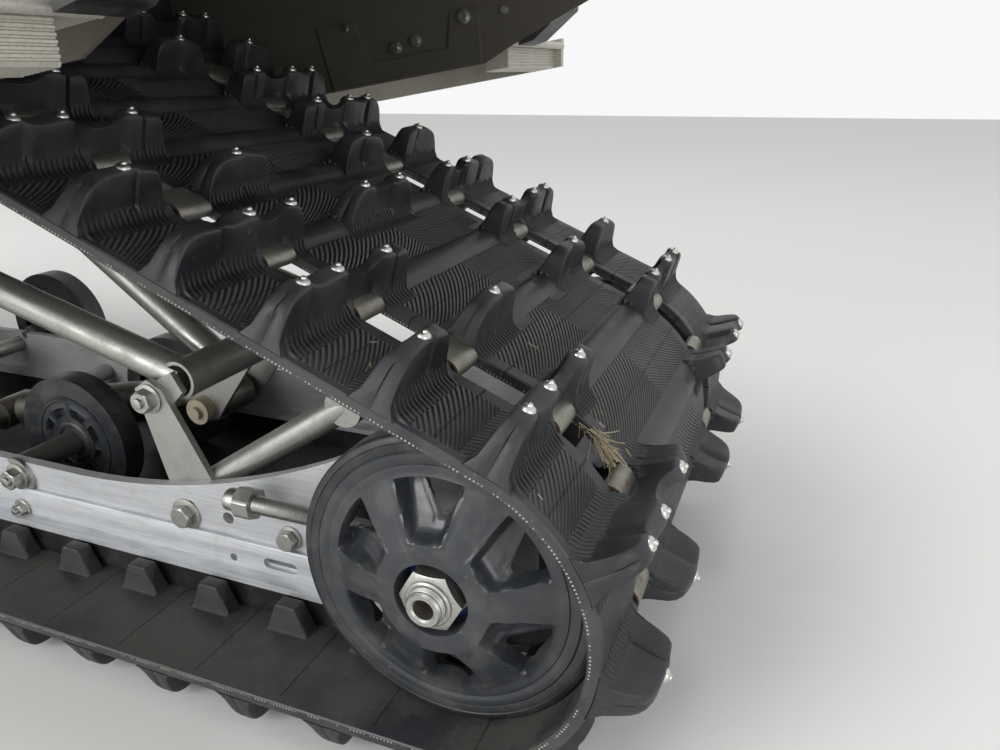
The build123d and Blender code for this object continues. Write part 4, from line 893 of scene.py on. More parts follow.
def lug_template(name, crest, panel, crease):
    """A lug lofted along its crest, with panels pressed into both faces and a crease down its end."""
    points = []
    for y in sorted({y for y, value in crest + panel}):
        top = along(crest, y)
        groove = CREASE_DEPTH if any(low < abs(y) < high for low, high in crease) else 0.0
        section = lug_section(y, top, along(panel, y), groove)
        row = [(plus, y, h) for plus, minus, h in section]
        row += [(-minus, y, h) for plus, minus, h in reversed(section[:-1])]
        points.append(row)
    grooves = [(low, high) for (low, d0), (high, d1) in zip(panel, panel[1:]) if min(d0, d1) > 2.0]
    lug = add_values(grid_of(name, points),
                     lambda v, y, h: float(any(low < abs(y) < high for low, high in grooves)))
    return fill_open_edges(lug)


END_CREASE = [(196.6, 208.0)]

# A finger on the belt: place along it, heights of the finger's foot and of its spine, and half width
FINGER_FOOT = [(19.8, 6.4, 7.05, 1.05), (17.6, 6.5, 7.9, 1.2), (14.6, 6.6, 8.5, 1.25), (12.4, 7.0, 9.3, 1.2)]
# The finger on the lug's rear face: height, how far its spine stands out, and half width
FINGER_CLIMB = [(10.6, 1.0, 1.1), (12.6, 0.9, 0.9)]
FINGER_LEAN = 0.12
FINGER_TIP_H = 15.2
FINGER_TIP_VARIES = 1.6
FINGER_LEAST_H = 13.0


def finger_points(y, depth, tip_h):
    """Rows of points of one finger: up the belt, then up the lug's rear face to a point."""
    def face_at(h):
        pressed = depth * ease(*PANEL_START, h - BELT_T)
        return along(LUG_BODY, h) - pressed

    stations = [((v, low), (v, high), half) for v, low, high, half in FINGER_FOOT]
    for h, out, half in FINGER_CLIMB:
        stations.append(((face_at(h) - 0.5, h - 0.4), (face_at(h) + out, h + 0.5), half))
    stations.append(((face_at(tip_h) - 0.5, tip_h), (face_at(tip_h) - 0.1, tip_h + 0.3), 0.2))
    rows = []
    for (v_low, low), (v_high, high), half in stations:
        spine_y = y + FINGER_LEAN * v_low
        rows.append([(v_low, spine_y - half, low), (v_high, spine_y - half * 0.4, high),
                     (v_high, spine_y + half * 0.4, high), (v_low, spine_y + half, low),
                     (v_low, spine_y - half, low)])
    return rows


def finger_template(name, crest, panel):
    """All the fingers behind one lug."""
    fingers = []
    start, end = crest[0][0] + 1.5, min(crest[-1][0] - 1.5, HALF_W - EDGE_BORDER)
    for i in range(int((end - start) / COMB_PITCH) + 1):
        y = start + COMB_PITCH * i
        if LANE_IN - 4 < abs(y) < LANE_OUT + 3:
            continue
        tip_h = min(FINGER_TIP_H + FINGER_TIP_VARIES * math.sin(i * 1.9), along(crest, y) - 2.0)
        if tip_h > FINGER_LEAST_H:
            fingers.append(grid_of(name, finger_points(y, along(panel, y), tip_h)))
    return add_values(fill_open_edges(join(fingers, name)), lambda v, y, h: 1.0)


def on_rows(template, kind=None, both=True):
    """Copies of a template on each row of a kind, or on all rows; the template is used up."""
    pieces = []
    for k in range(PITCHES):
        if kind in (None, row_kind(k)):
            pieces.append(lay_on_belt(copied(template), row_s(k)))
            if both:
                pieces.append(lay_on_belt(copied(template), row_s(k), far_side=True))
    bpy.data.objects.remove(template)
    return pieces


# A rod cover's outline: half length, half height, middle height, and how square its corners are
ROD_COVER = (13.65, 3.2, 3.5)
ROD_COVER_POWER = 0.6
ROD_COVER_SIDES = 12


class TRACK_OT_belts(bpy.types.Operator):
    """Build the three belts of the track, with a hump over each rod"""
    bl_idname = "track_module.belts"
    bl_label = "Belts"

    def execute(self, context):
        for name, edges, far_side in (("belt_left", SIDE_EDGES, False), ("belt_right", SIDE_EDGES, True),
                                      ("belt_middle", MIDDLE_EDGES, False)):
            templates = {kind: belt_template(name + kind, edges, kind) for kind in COMB_SPANS}
            rows = [lay_on_belt(copied(templates[row_kind(k)]), row_s(k), far_side, stiff=False)
                    for k in range(PITCHES)]
            for template in templates.values():
                bpy.data.objects.remove(template)
            belt = smooth(face_out(join(rows, name)), 40)
            finish(belt, "frame", MATERIALS["belt"], "track_rubber", "track")
        # A rubber coated rod crosses both window lanes at each row
        half_l, half_h, middle_h = ROD_COVER
        outline = []
        for i in range(ROD_COVER_SIDES):
            turn = 2 * math.pi * i / ROD_COVER_SIDES
            outline.append((half_l * math.copysign(abs(math.cos(turn)) ** ROD_COVER_POWER, math.cos(turn)),
                            middle_h + half_h * math.copysign(abs(math.sin(turn)) ** ROD_COVER_POWER,
                                                              math.sin(turn))))
        outline.append(outline[0])
        points = [[(v, y, h) for v, h in outline]
                  for y in (LANE_IN - 2, LANE_IN + 3, LANE_OUT - 3, LANE_OUT + 2)]
        rods = on_rows(fill_open_edges(add_values(grid_of("rod", points))))
        rods = smooth(face_out(join(rods, "rod_covers")), 50)
        finish(rods, "frame", MATERIALS["lug"], "track_rubber", "track")
        return {"FINISHED"}


# Lugs: name, kind of row, crest, panels, creased ends, and whether both sides have one
LUG_GROUPS = [
    ("lugs_cross", "cross", CROSS_CREST, CROSS_PANEL, END_CREASE, True),
    ("lugs_beside_centre", "centre", CENTRE_NEAR_CREST, CENTRE_NEAR_PANEL, END_CREASE, True),
    ("lugs_outer", "side", SIDE_CREST, SIDE_PANEL, END_CREASE, True),
    ("lugs_inner", "side", INNER_CREST, INNER_PANEL, [(101.5, 109.0)], True),
    ("lugs_centre", "centre", CENTRE_CREST, CENTRE_PANEL, [(38.0, 45.0)], False),
]


class TRACK_OT_lugs(bpy.types.Operator):
    """Build the lugs: one over each window on cross rows, separate ones on side rows"""
    bl_idname = "track_module.lugs"
    bl_label = "Lugs"

    def execute(self, context):
        for name, kind, crest, panel, crease, both in LUG_GROUPS:
            lugs = join(on_rows(lug_template(name + "_one", crest, panel, crease), kind, both), name)
            finish(smooth(lugs, 48), "frame", MATERIALS["lug"], "track_rubber", "track")
        return {"FINISHED"}


class TRACK_OT_fingers(bpy.types.Operator):
    """Build the comb of thin fingers that climbs the rear face of each lug"""
    bl_idname = "track_module.fingers"
    bl_label = "Fingers"

    def execute(self, context):
        fingers = []
        for name, kind, crest, panel, _, both in LUG_GROUPS:
            fingers += on_rows(finger_template(name + "_fingers", crest, panel), kind, both)
        fingers = smooth(join(fingers, "lug_fingers"), 30)
        finish(fingers, "frame", MATERIALS["lug"], "track_rubber", "track")
        return {"FINISHED"}


# The row behind whose window the stalks are caught, and a stalk's corners and rings
GRASS_ROW = 4
STALK_CORNERS = (0.0, 2.1, 4.2, 0.0)
STALK_RINGS = 5
STALK_BOW = 0.12


class TRACK_OT_grass(bpy.types.Operator):
    """Build the dry stalks caught in a window and lying on the belts"""
    bl_idname = "track_module.grass"
    bl_label = "Dry grass"

    def execute(self, context):
        stalks = []
        for i in range(context.scene.track_settings.grass):
            # Three in four are caught, and the fourth lies on the belt
            caught = i % 4 != 0
            if caught:
                start = (random.triangular(15, 44, 40), random.uniform(105, 114), random.uniform(3.0, 8.0))
            else:
                start = (random.uniform(-150, 60), random.uniform(60, 200), BELT_T + 1.4)
            heading = random.uniform(-1.3, 1.1)
            length = random.uniform(5, 17) if caught else random.uniform(2, 7)
            radius = random.uniform(0.12, 0.34)
            rise = random.uniform(-0.2, 0.3) if caught else 0.02
            points = []
            for j in range(STALK_RINGS):
                share = j / (STALK_RINGS - 1)
                along_it = length * share
                bow = STALK_BOW * along_it * (1 - share)
                v = start[0] + along_it * math.cos(heading) + bow
                y = start[1] - along_it * math.sin(heading) + bow
                h = start[2] + along_it * rise
                points.append([(v + radius * math.cos(turn), y + radius * math.sin(turn),
                                h + radius * math.sin(2 * turn)) for turn in STALK_CORNERS])
            stalks.append(grid_of("stalk", points))
        stalks = add_values(fill_open_edges(join(stalks, "dry_grass")))
        stalks = smooth(lay_on_belt(stalks, row_s(GRASS_ROW), stiff=False), 60)
        finish(stalks, "frame", MATERIALS["straw"], "track_rubber")
        return {"FINISHED"}


# Half of a folded clip's outer line: place along the belt and height
CLIP_OUTER = [(14.8, 3.4), (14.7, 5.4), (13.8, 7.4), (12.0, 9.2), (10.0, 10.3), (8.0, 10.7),
              (6.0, CLIP_TOP)]
# A clip is narrower than its lane, and its cut edges are rounded by this much
CLIP_FREE = 1.0
CLIP_ROUND = 0.3


class TRACK_OT_clips(bpy.types.Operator):
    """Build the folded steel clips over the rods in both window lanes"""
    bl_idname = "track_module.clips"
    bl_label = "Clips"

    def execute(self, context):
        inner = [(v - 1.5, h - 0.3) if h < 7 else (v - 1.2, h - 1.1) for v, h in CLIP_OUTER[:-1]]
        inner.append((5.6, 9.5))
        line = CLIP_OUTER + [(-v, h) for v, h in reversed(CLIP_OUTER)] + [(-v, h) for v, h in inner]
        line += list(reversed(inner)) + [CLIP_OUTER[0]]
        half = (LANE_OUT - LANE_IN - CLIP_FREE) / 2
        places = [(-half, CLIP_ROUND), (CLIP_ROUND - half, 0.0), (half - CLIP_ROUND, 0.0),
                  (half, CLIP_ROUND)]
        points = [[(v * (1 - shrink / 30), LANE_Y + y, h - shrink * 0.3) for v, h in line]
                  for y, shrink in places]
        clips = on_rows(smooth(fill_open_edges(grid_of("clip", points)), 40))
        clips = smooth(face_out(join(clips, "guide_clips")), 40)
        finish(clips, "frame", MATERIALS["clip"], "clip_steel", "track_clips")
        # The cut ends are rusty
        clips.data.materials.append(MATERIALS["rusty"])
        for face in clips.data.polygons:
            if abs(face.normal.y) > 0.6:
                face.material_index = 1
        return {"FINISHED"}


# Places across the belt of a lug's studs, for each kind of row
STUD_PLACES = {
    "cross": (184.0, 153.0, 102.0),
    "centre": (146.0, 108.0, 24.0),
    "side": (171.0, 80.0),
}


class TRACK_OT_studs(bpy.types.Operator):
    """Build the bright studs on the lugs' crests"""
    bl_idname = "track_module.studs"
    bl_label = "Studs"

    def execute(self, context):
        # Half section of a stud: a domed washer and a blunt pin
        profile = [(0.0, 3.5), (1.0, 3.4), (1.5, 2.9), (1.6, 2.2), (2.6, 1.9), (3.7, 1.1), (4.2, 0.1),
                   (4.0, -1.0), (0.0, -1.2)]
        steps = 10
        sunk = 0.2

        def shape(row, column):
            r, h = profile[column]
            turn = 2 * math.pi * row / steps
            return Vector((r * math.cos(turn), r * math.sin(turn), CREST - sunk + h)) * MM

        stud = face_out(shaped_grid("stud", steps + 1, len(profile), shape))
        studs = []
        for k in range(PITCHES):
            for y in STUD_PLACES[row_kind(k)]:
                for far_side in (False, True):
                    one = copied(stud)
                    one.data.transform(Matrix.Translation((0, y * MM, 0)))
                    studs.append(lay_on_belt(one, row_s(k), far_side))
        bpy.data.objects.remove(stud)
        studs = smooth(face_out(join(studs, "studs")), 40)
        finish(studs, "frame", MATERIALS["stud"], "zinc_steel")
        return {"FINISHED"}


# A drive lug's sections from the belt down to its flat tip: half length, half width, height
DRIVE_LUG = [(18.5, 8.6, 0.6), (16.2, 7.0, -0.6), (15.0, 6.4, -2.4), (8.4, 5.4, -18.6), (7.6, 4.8, -19.7),
             (6.6, 4.0, -20.0), (0.0, 0.0, -20.0)]
# Corners of a section in shares of its half length and half width, and the lug's middle across the belt
DRIVE_LUG_CORNERS = [(1, -0.8), (1, 0.8), (0.94, 1), (-0.94, 1), (-1, 0.8), (-1, -0.8), (-0.94, -1),
                     (0.94, -1), (1, -0.8)]
DRIVE_LUG_Y = 146.25


class TRACK_OT_drive_lugs(bpy.types.Operator):
    """Build the drive lugs inside the belts"""
    bl_idname = "track_module.drive_lugs"
    bl_label = "Drive lugs"

    def execute(self, context):
        points = [[(half_l * a, DRIVE_LUG_Y + half_w * b, h) for a, b in DRIVE_LUG_CORNERS]
                  for half_l, half_w, h in DRIVE_LUG]
        pieces = on_rows(fill_open_edges(add_values(grid_of("drive_lug", points))))
        lugs = smooth(face_out(join(pieces, "drive_lugs")), 28)
        finish(lugs, "frame", MATERIALS["lug"], "track_rubber", "track")
        return {"FINISHED"}


def rounded_ridge(height, distance, width):
    """Height of a rounded ridge at a distance from its middle line."""
    return height * math.exp(-(distance / width) ** 2)


# Rear wheel: its spokes, and the heights of its face and of its hub's face
SPOKES = 6
SECTOR = 2 * math.pi / SPOKES
SPOKE_TURN = math.radians(-5.0)
WHEEL_FACE = 178.5
HUB_FACE = 193.5
# Radius and height of the wheel's face without its pockets
FACE_CONE = [(0, HUB_FACE), (29.0, HUB_FACE), (33.0, HUB_FACE - 1.2), (64.0, WHEEL_FACE + 1.2),
             (66.5, WHEEL_FACE + 0.4), (200, WHEEL_FACE + 0.4)]
# A pocket between two spokes: half width and height of its floor, each against the distance out
POCKET_HALF = [(33.0, 9.0), (62.0, 20.0), (66.0, 19.0)]
POCKET_FLOOR = [(33.0, 187.0), (45.0, 178.0), (65.0, 166.0)]
POCKET_IN = 33.5
POCKET_OUT = 65.0
# How far within the pocket's outline its wall starts and ends
POCKET_WALL = (-0.8, 3.2)
# The raised lip on the pocket's floor: its outline's distances from the pocket's sides
FLOOR_LIP_IN = 43.0
FLOOR_LIP_OUT = 63.5
FLOOR_LIP_GAP = 3.2
FLOOR_LIP_SIDE = [(44.0, -4.2), (62.0, 8.0)]


def wheel_face(r, turn):
    """Height of the rear wheel's outer face at a radius and angle."""
    cone = along(FACE_CONE, r)
    local = (turn - SPOKE_TURN) % SECTOR - SECTOR / 2
    across = r * math.sin(local)
    reach = r * math.cos(local)
    half = along(POCKET_HALF, reach)
    inside = min(half - abs(across), reach - POCKET_IN, POCKET_OUT - r)
    share = ease(*POCKET_WALL, inside)
    height = cone * (1 - share) + along(POCKET_FLOOR, reach) * share + rounded_ridge(0.9, inside + 0.2, 1.3)
    # A raised lip runs round the window beside one spoke
    edge = min(half - FLOOR_LIP_GAP - across, across + along(FLOOR_LIP_SIDE, reach),
               reach - FLOOR_LIP_IN, FLOOR_LIP_OUT - r)
    return height + rounded_ridge(1.2, edge + 1.4, 1.2) * share


# Corners of a window in its sector: across, and out from the axle
WINDOW = [(5.4, 44.6), (8.4, 44.0), (10.2, 45.6), (16.2, 58.4), (15.8, 60.4), (14.0, 61.4), (-6.4, 63.4),
          (-8.0, 62.6), (-7.4, 60.4), (3.8, 46.2)]


# A cut corner further than this from its window's outline stays where it is
WINDOW_REACH = 1.2


def window_lines():
    """The six windows' outlines: corners in mm about the axle."""
    outlines = []
    for i in range(SPOKES):
        middle_turn = SPOKE_TURN + SECTOR * (i + 0.5)
        out = Vector((math.cos(middle_turn), math.sin(middle_turn)))
        side = Vector((-math.sin(middle_turn), math.cos(middle_turn)))
        outlines.append([out * reach + side * across for across, reach in WINDOW])
    return outlines


def inside_outline(point, outline):
    """Whether a point is inside an outline with only outward corners."""
    turns = [(b - a).cross(point - a) > 0 for a, b in zip(outline, outline[1:] + outline[:1])]
    return all(turns) or not any(turns)


def nearest_on(point, outline):
    """The place on an outline that is nearest to a point."""
    best = None
    for a, b in zip(outline, outline[1:] + outline[:1]):
        step = b - a
        share = min(max((point - a).dot(step) / step.dot(step), 0.0), 1.0)
        there = a + step * share
        if best is None or (there - point).length < (best - point).length:
            best = there
    return best


def open_windows(wheel):
    """Takes out the faces in the six windows and draws the cut edges onto the windows' outlines."""
    outlines = window_lines()
    mesh = wheel.data
    flat = [Vector((v.co.x - AXLE.x, v.co.z - AXLE.z)) / MM for v in mesh.vertices]
    cut_corners = {}
    only(wheel)
    bpy.ops.object.mode_set(mode="EDIT")
    bpy.ops.mesh.select_mode(type="FACE")
    bpy.ops.mesh.select_all(action="DESELECT")
    bpy.ops.object.mode_set(mode="OBJECT")
    for face in mesh.polygons:
        centre = Vector((face.center.x - AXLE.x, face.center.z - AXLE.z)) / MM
        for outline in outlines:
            if inside_outline(centre, outline):
                face.select = True
                for index in face.vertices:
                    cut_corners[index] = outline
    for index, outline in cut_corners.items():
        there = nearest_on(flat[index], outline)
        if (there - flat[index]).length < WINDOW_REACH:
            height = wheel_face(there.length, math.atan2(there.y, there.x))
            mesh.vertices[index].co = place(there.x, height, there.y)
    bpy.ops.object.mode_set(mode="EDIT")
    bpy.ops.mesh.delete(type="FACE")
    bpy.ops.object.mode_set(mode="OBJECT")
    return wheel


WHEEL_TURNS = 270
WHEEL_WALL = 5.0
# A groove runs round the face beside the tyre: from and to this radius, and its depth
TYRE_GROOVE = (72.2, 73.4)
TYRE_GROOVE_DEPTH = 0.9
# Radius and height of the rim's barrel and of the hub's barrel behind the face
RIM_BARREL = [(79.0, 156.6), (79.0, 178.0), (78.2, 178.8), (75.0, 178.6), (72.5, 170.0), (71.5, 158.0),
              (72.0, 156.6)]
HUB_BARREL = [(30.0, 161.0), (30.5, 186.0), (26.0, 190.0), (23.0, 192.5), (21.6, 193.2), (21.0, 192.0),
              (21.0, 176.5), (23.0, 176.0), (23.0, 160.2), (29.0, 160.2)]
# How far a corner of the tyre's section is under its outer diameter, and its height
TYRE_SECTION = [(9.9, 156.5), (5.0, 156.3), (1.6, 156.8), (0.3, 158.4), (0.0, 161.0), (0.0, 174.0),
                (0.3, 176.8), (1.6, 178.2), (4.4, 178.7), (4.8, 178.3), (5.2, 178.7), (8.8, 178.6),
                (9.9, 178.2)]


class WHEEL_OT_rear_wheels(bpy.types.Operator):
    """Build both rear wheels: moulded hub, six spokes and pockets with windows"""
    bl_idname = "track_module.rear_wheels"
    bl_label = "Rear wheels"

    def execute(self, context):
        radii = [21.6, 22.4, 24.0, 26.5, 29.0, 31.0, 32.2, 33.0, 33.8, 34.8, 36.0]
        radii += [36.0 + 1.3 * i for i in range(1, 20)]
        radii += [61.6, 62.4, 63.2, 64.0, 64.8, 65.6, 66.4, 67.4, 69.0, 71.0]
        radii += [72.0, 72.4, 73.2, 73.6, 76.5, 78.4]
        groove_in, groove_out = TYRE_GROOVE

        def front(row, column):
            r, turn = radii[column], 2 * math.pi * row / WHEEL_TURNS
            height = wheel_face(r, turn)
            if groove_in < r < groove_out:
                height -= TYRE_GROOVE_DEPTH
            return place(r * math.cos(turn), height, r * math.sin(turn))

        wheel = shaped_grid("rear_wheel", WHEEL_TURNS + 1, len(radii), front)
        only(wheel)
        bpy.ops.object.mode_set(mode="EDIT")
        bpy.ops.mesh.select_all(action="SELECT")
        bpy.ops.mesh.remove_doubles(threshold=WELD)
        bpy.ops.object.mode_set(mode="OBJECT")
        if wheel.data.polygons[0].normal.y < 0:
            wheel.data.flip_normals()
        apply_modifier(wheel, "SMOOTH", factor=0.5, iterations=3)
        wheel = open_windows(wheel)
        apply_modifier(wheel, "SOLIDIFY", thickness=WHEEL_WALL * MM, offset=-1)
        wheel = face_out(wheel)
        barrel = turned("barrel", RIM_BARREL, 128)
        hub = turned("hub", HUB_BARREL, 96)
        wheel = join([wheel, barrel, hub], "rear_wheel_detail_left")
        finish_pair(wheel, "rear_wheel_detail", 38, "rear_wheels", MATERIALS["nylon"], "wheel_nylon",
                    "rear_wheel")
        # Bonded tyre: rounded shoulders and a fine parting line on each face
        outer = context.scene.wheel_settings.diameter / 2 / MM
        tyre = turned("rear_tyre_detail_left", [(outer - under, h) for under, h in TYRE_SECTION], 160)
        finish_pair(tyre, "rear_tyre_detail", 40, "rear_wheels", MATERIALS["tyre"], "tyre_rubber",
                    "rear_tyre")
        return {"FINISHED"}


# Axle ends: the bore in the nut and washer, the thread's turns and the hollow end's bore
NUT_BORE_R = 11.0
THREAD_R = 10.9
THREAD_ROOT_R = 10.35
THREAD_PITCH = 1.25
AXLE_BORE_R = 6.0


class AXLE_OT_nuts(bpy.types.Operator):
    """Build the axle's hex nuts and its hollow ends"""
    bl_idname = "track_module.axle_nuts"
    bl_label = "Axle nuts"

    def execute(self, context):
        # Heights of the washer's back, its front and the nut's front
        low, flange, high = 176.4, 179.4, 195.6
        nut = hex_nut("axle_nut_body", (0, flange, 0), (0, high, 0), 32.0, THREAD_R, turn_deg=15.0)
        washer = turned("axle_washer", [(NUT_BORE_R, low), (18.0, low), (18.2, low + 0.6), (17.2, flange),
                                        (NUT_BORE_R, flange)], 64)
        collar = turned("axle_collar", [(NUT_BORE_R, high - 0.5), (13.6, high - 0.5), (13.4, high + 1.4),
                                        (12.4, high + 2.2), (NUT_BORE_R, high + 2.2)], 64)
        nut = smooth(join([nut, washer, collar], "axle_nut_detail"), 35)
        both = smooth(join([nut, mirrored(nut)], "axle_nut_detail"), 35)
        finish(both, "frame", MATERIALS["zinc"], "zinc_steel", "axle_nuts")
        # The axle's end: a chamfered, threaded rim round a rusty bore
        rim = [(AXLE_BORE_R, 172.0), (THREAD_R, 172.0)]
        y = 194.0
        while y < 201.0:
            rim += [(THREAD_R, y), (THREAD_ROOT_R, y + 0.5)]
            y += THREAD_PITCH
        rim += [(10.4, 201.6), (9.4, 203.0), (7.0, 203.0), (AXLE_BORE_R, 202.0)]
        end = turned("axle_end_detail", rim, 64)
        end = smooth(end, 30)
        far = mirrored(end)
        floor = cylinder("axle_plug", (0, 178, 0), (0, 190, 0), AXLE_BORE_R + 0.1)
        floor = join([floor, mirrored(floor)], "axle_bore_rust")
        finish(floor, "frame", MATERIALS["rusty"], "dark_steel")
        middle_part = cylinder("axle_middle", (0, -173, 0), (0, 173, 0), 11.0)
        axle = smooth(join([end, far, middle_part], "axle_detail"), 30)
        finish(axle, "frame", MATERIALS["zinc"], "zinc_steel", "rear_axle")
        return {"FINISHED"}


# Small wheels: name, place, outer face, radius of the moulded face, number of slots
SMALL_WHEELS = [
    ("inner_face", (404.0, -32.2), 68.0, 41.0, 8),
    ("carrier_face", (540.0, 256.4), 86.0, 47.5, 8),
    ("bogie_face", (690.0, -25.3), 179.0, 47.5, 8),
]
# Their faces are drawn at this radius and then scaled
DRAWN_R = 41.0
DRAWN_RADII = [14.0, 14.8, 16.0, 17.0, 17.8, 19.0, 20.4, 21.2, 22.0, 22.8, 24.5, 26.5, 28.5, 29.3, 30.1,
               31.0, 32.0, 34.0, 36.0, 37.0, 38.2, 39.2, 40.2, DRAWN_R]
SMALL_TURNS = 104
# How far the face is set back, and the depth of its back
SET_BACK = 5.0
BACK_DEPTH = 6.5
# A slot's inner and outer radius, the radius where its width is measured, and half that width in sectors
SLOT_IN = 21.6
SLOT_OUT = 30.2
SLOT_MIDDLE = 26.0
SLOT_HALF = 0.31


class WHEEL_OT_small_wheels(bpy.types.Operator):
    """Build the moulded faces of the small wheels, with a ring of slots"""
    bl_idname = "track_module.small_wheels"
    bl_label = "Small wheels"

    def execute(self, context):
        faces = []
        for name, (x, z), face_y, rim_r, slots in SMALL_WHEELS:
            size = rim_r / DRAWN_R
            last = len(DRAWN_RADII) + 1

            def front(row, column):
                turn = 2 * math.pi * row / SMALL_TURNS
                if column in (0, last):
                    r, height = DRAWN_RADII[0 if column == 0 else -1] * size, -BACK_DEPTH
                else:
                    r = DRAWN_RADII[column - 1]
                    height = self.face_height(r, turn, slots) - SET_BACK
                    r *= size
                return place(x + r * math.cos(turn), face_y + height, z + r * math.sin(turn))

            face = fill_open_edges(face_out(shaped_grid(name, SMALL_TURNS + 1, last + 1, front)))
            faces += [face, mirrored(face)]
        faces = smooth(join(faces, "small_wheel_faces"), 40)
        finish(faces, "frame", MATERIALS["nylon"], "wheel_nylon")
        return {"FINISHED"}

    def face_height(self, r, turn, slots):
        """Height of a small wheel's face at a radius and angle, as drawn."""
        sector = 2 * math.pi / slots
        local = abs((turn % sector) - sector / 2) * r
        inside = min(SLOT_HALF * sector * SLOT_MIDDLE - local * SLOT_MIDDLE / r, r - SLOT_IN, SLOT_OUT - r)
        slot_depth = 4.6 * ease(-0.5, 0.7, inside)
        lip = rounded_ridge(0.8, inside + 1.2, 0.8)
        hub = 1.8 * (1 - ease(17.0, 19.0, r))
        rim = 1.4 * ease(36.0, 37.4, r)
        groove = rounded_ridge(0.9, r - 38.6, 0.5)
        return 4.4 - slot_depth + lip + hub + rim - groove


# Nuts: steps round them, how steeply the cone turns their corners down, and its rim in shares of the flats
NUT_STEPS = 48
CONE_SLOPE = 0.62
CONE_START = 0.4
CONE_RIM = 0.955


def hex_nut(name, start, end, across_flats, bore_r, turn_deg):
    """A hex nut or bolt head with its outer corners turned down to a cone."""
    a, b = place(*start), place(*end)
    axis = (b - a).normalized()
    tall = (b - a).length / MM
    side = axis.orthogonal().normalized()
    other = axis.cross(side)
    flat_r = across_flats / 2
    corners = 5

    def shape(row, column):
        turn = 2 * math.pi * row / NUT_STEPS
        local = (turn - math.radians(turn_deg) + math.pi / 6) % (math.pi / 3) - math.pi / 6
        hex_r = flat_r / math.cos(local)
        cone_h = tall - (hex_r - flat_r) * CONE_SLOPE - CONE_START
        r, h = [(bore_r, 0.0), (hex_r, 0.0), (hex_r, cone_h), (flat_r * CONE_RIM, tall),
                (bore_r, tall)][column % corners]
        return a + (side * math.cos(turn) * r + other * math.sin(turn) * r + axis * h) * MM

    return face_out(shaped_grid(name, NUT_STEPS + 1, corners + 1, shape))


# A washer's thickness, and how far a threaded end stands out of its nut
WASHER_T = 1.6
STUD_OUT = 2.5


def bolt(name, centre, y_face, head_af, head_h, washer_r, outward, stud):
    """A bolt head with its washer, standing on a face at y_face and pointing along y."""
    x, z = centre
    parts = []
    low = y_face
    if washer_r:
        high = low + outward * WASHER_T
        parts.append(cylinder(name + "_washer", (x, low, z), (x, high, z), washer_r, 40, 0.3))
        low = high
    head = hex_nut(name + "_head", (x, low, z), (x, low + outward * head_h, z), head_af,
                   head_af * 0.2 if stud else 0.01, turn_deg=random.uniform(0, 60))
    parts.append(head)
    if stud:
        parts.append(cylinder(name + "_stud", (x, low, z), (x, low + outward * (head_h + STUD_OUT), z),
                              head_af * 0.27, 20, 0.4))
    return join(parts, name)


# Outer faces of a rail and of its raised lower strip, in mm
RAIL_FACE = 125.0
STRIP_FACE = 128.4


class RAIL_OT_hardware(bpy.types.Operator):
    """Build the bolts, nuts and washers on the rails, the links and the arms"""
    bl_idname = "track_module.hardware"
    bl_label = "Bolts and nuts"

    def execute(self, context):
        # Name, centre, face, head across flats, head height, washer radius, with a stud end
        table = [
            ("adjuster_bolt", (141.0, -34.0), RAIL_FACE, 13.0, 6.5, 9.0, False),
            ("heel_bolt", (230.0, -34.0), RAIL_FACE, 15.0, 7.0, 12.0, False),
            ("plate_nut", (396.0, -34.0), RAIL_FACE + 3.0, 15.0, 8.0, 11.0, True),
            ("small_nut", (398.0, -62.0), STRIP_FACE, 10.0, 5.0, 8.0, True),
            ("shock_bolt", (566.0, -54.0), STRIP_FACE, 15.0, 7.0, 12.0, False),
            ("arm_bolt", (800.0, -38.0), RAIL_FACE, 15.0, 7.0, 12.0, False),
            ("front_shock_bolt", (700.0, -36.0), RAIL_FACE, 15.0, 7.0, 12.0, False),
            ("bow_bolt", (880.0, -30.0), RAIL_FACE, 13.0, 6.0, 10.0, False),
            ("link_top_bolt", (256.0, 48.0), 116.7, 15.0, 8.0, 11.0, True),
            ("plate_rivet_front", (285.0, 300.0), -221.0, 7.0, 2.6, 0.0, False),
            ("plate_rivet_rear", (159.0, 306.9), -221.0, 9.0, 3.2, 6.5, False),
            ("wall_bolt", (232.0, 282.0), -224.0, 9.0, 3.4, 6.0, False),
            ("wall_bolt_rear", (210.0, 287.7), -224.0, 8.0, 3.4, 5.5, False),
            ("wall_rivet", (120.0, 311.5), -224.0, 7.0, 2.6, 0.0, False),
        ]
        bolts = []
        for name, centre, face, head_af, head_h, washer_r, stud in table:
            bolts.append(bolt(name, centre, face, head_af, head_h, washer_r, 1, stud))
            bolts.append(bolt(name + "_far", centre, -face, head_af, head_h, washer_r, -1, stud))
        bolts = smooth(face_out(join(bolts, "bolts_and_nuts")), 35)
        finish(bolts, "frame", MATERIALS["zinc"], "zinc_steel")
        return {"FINISHED"}


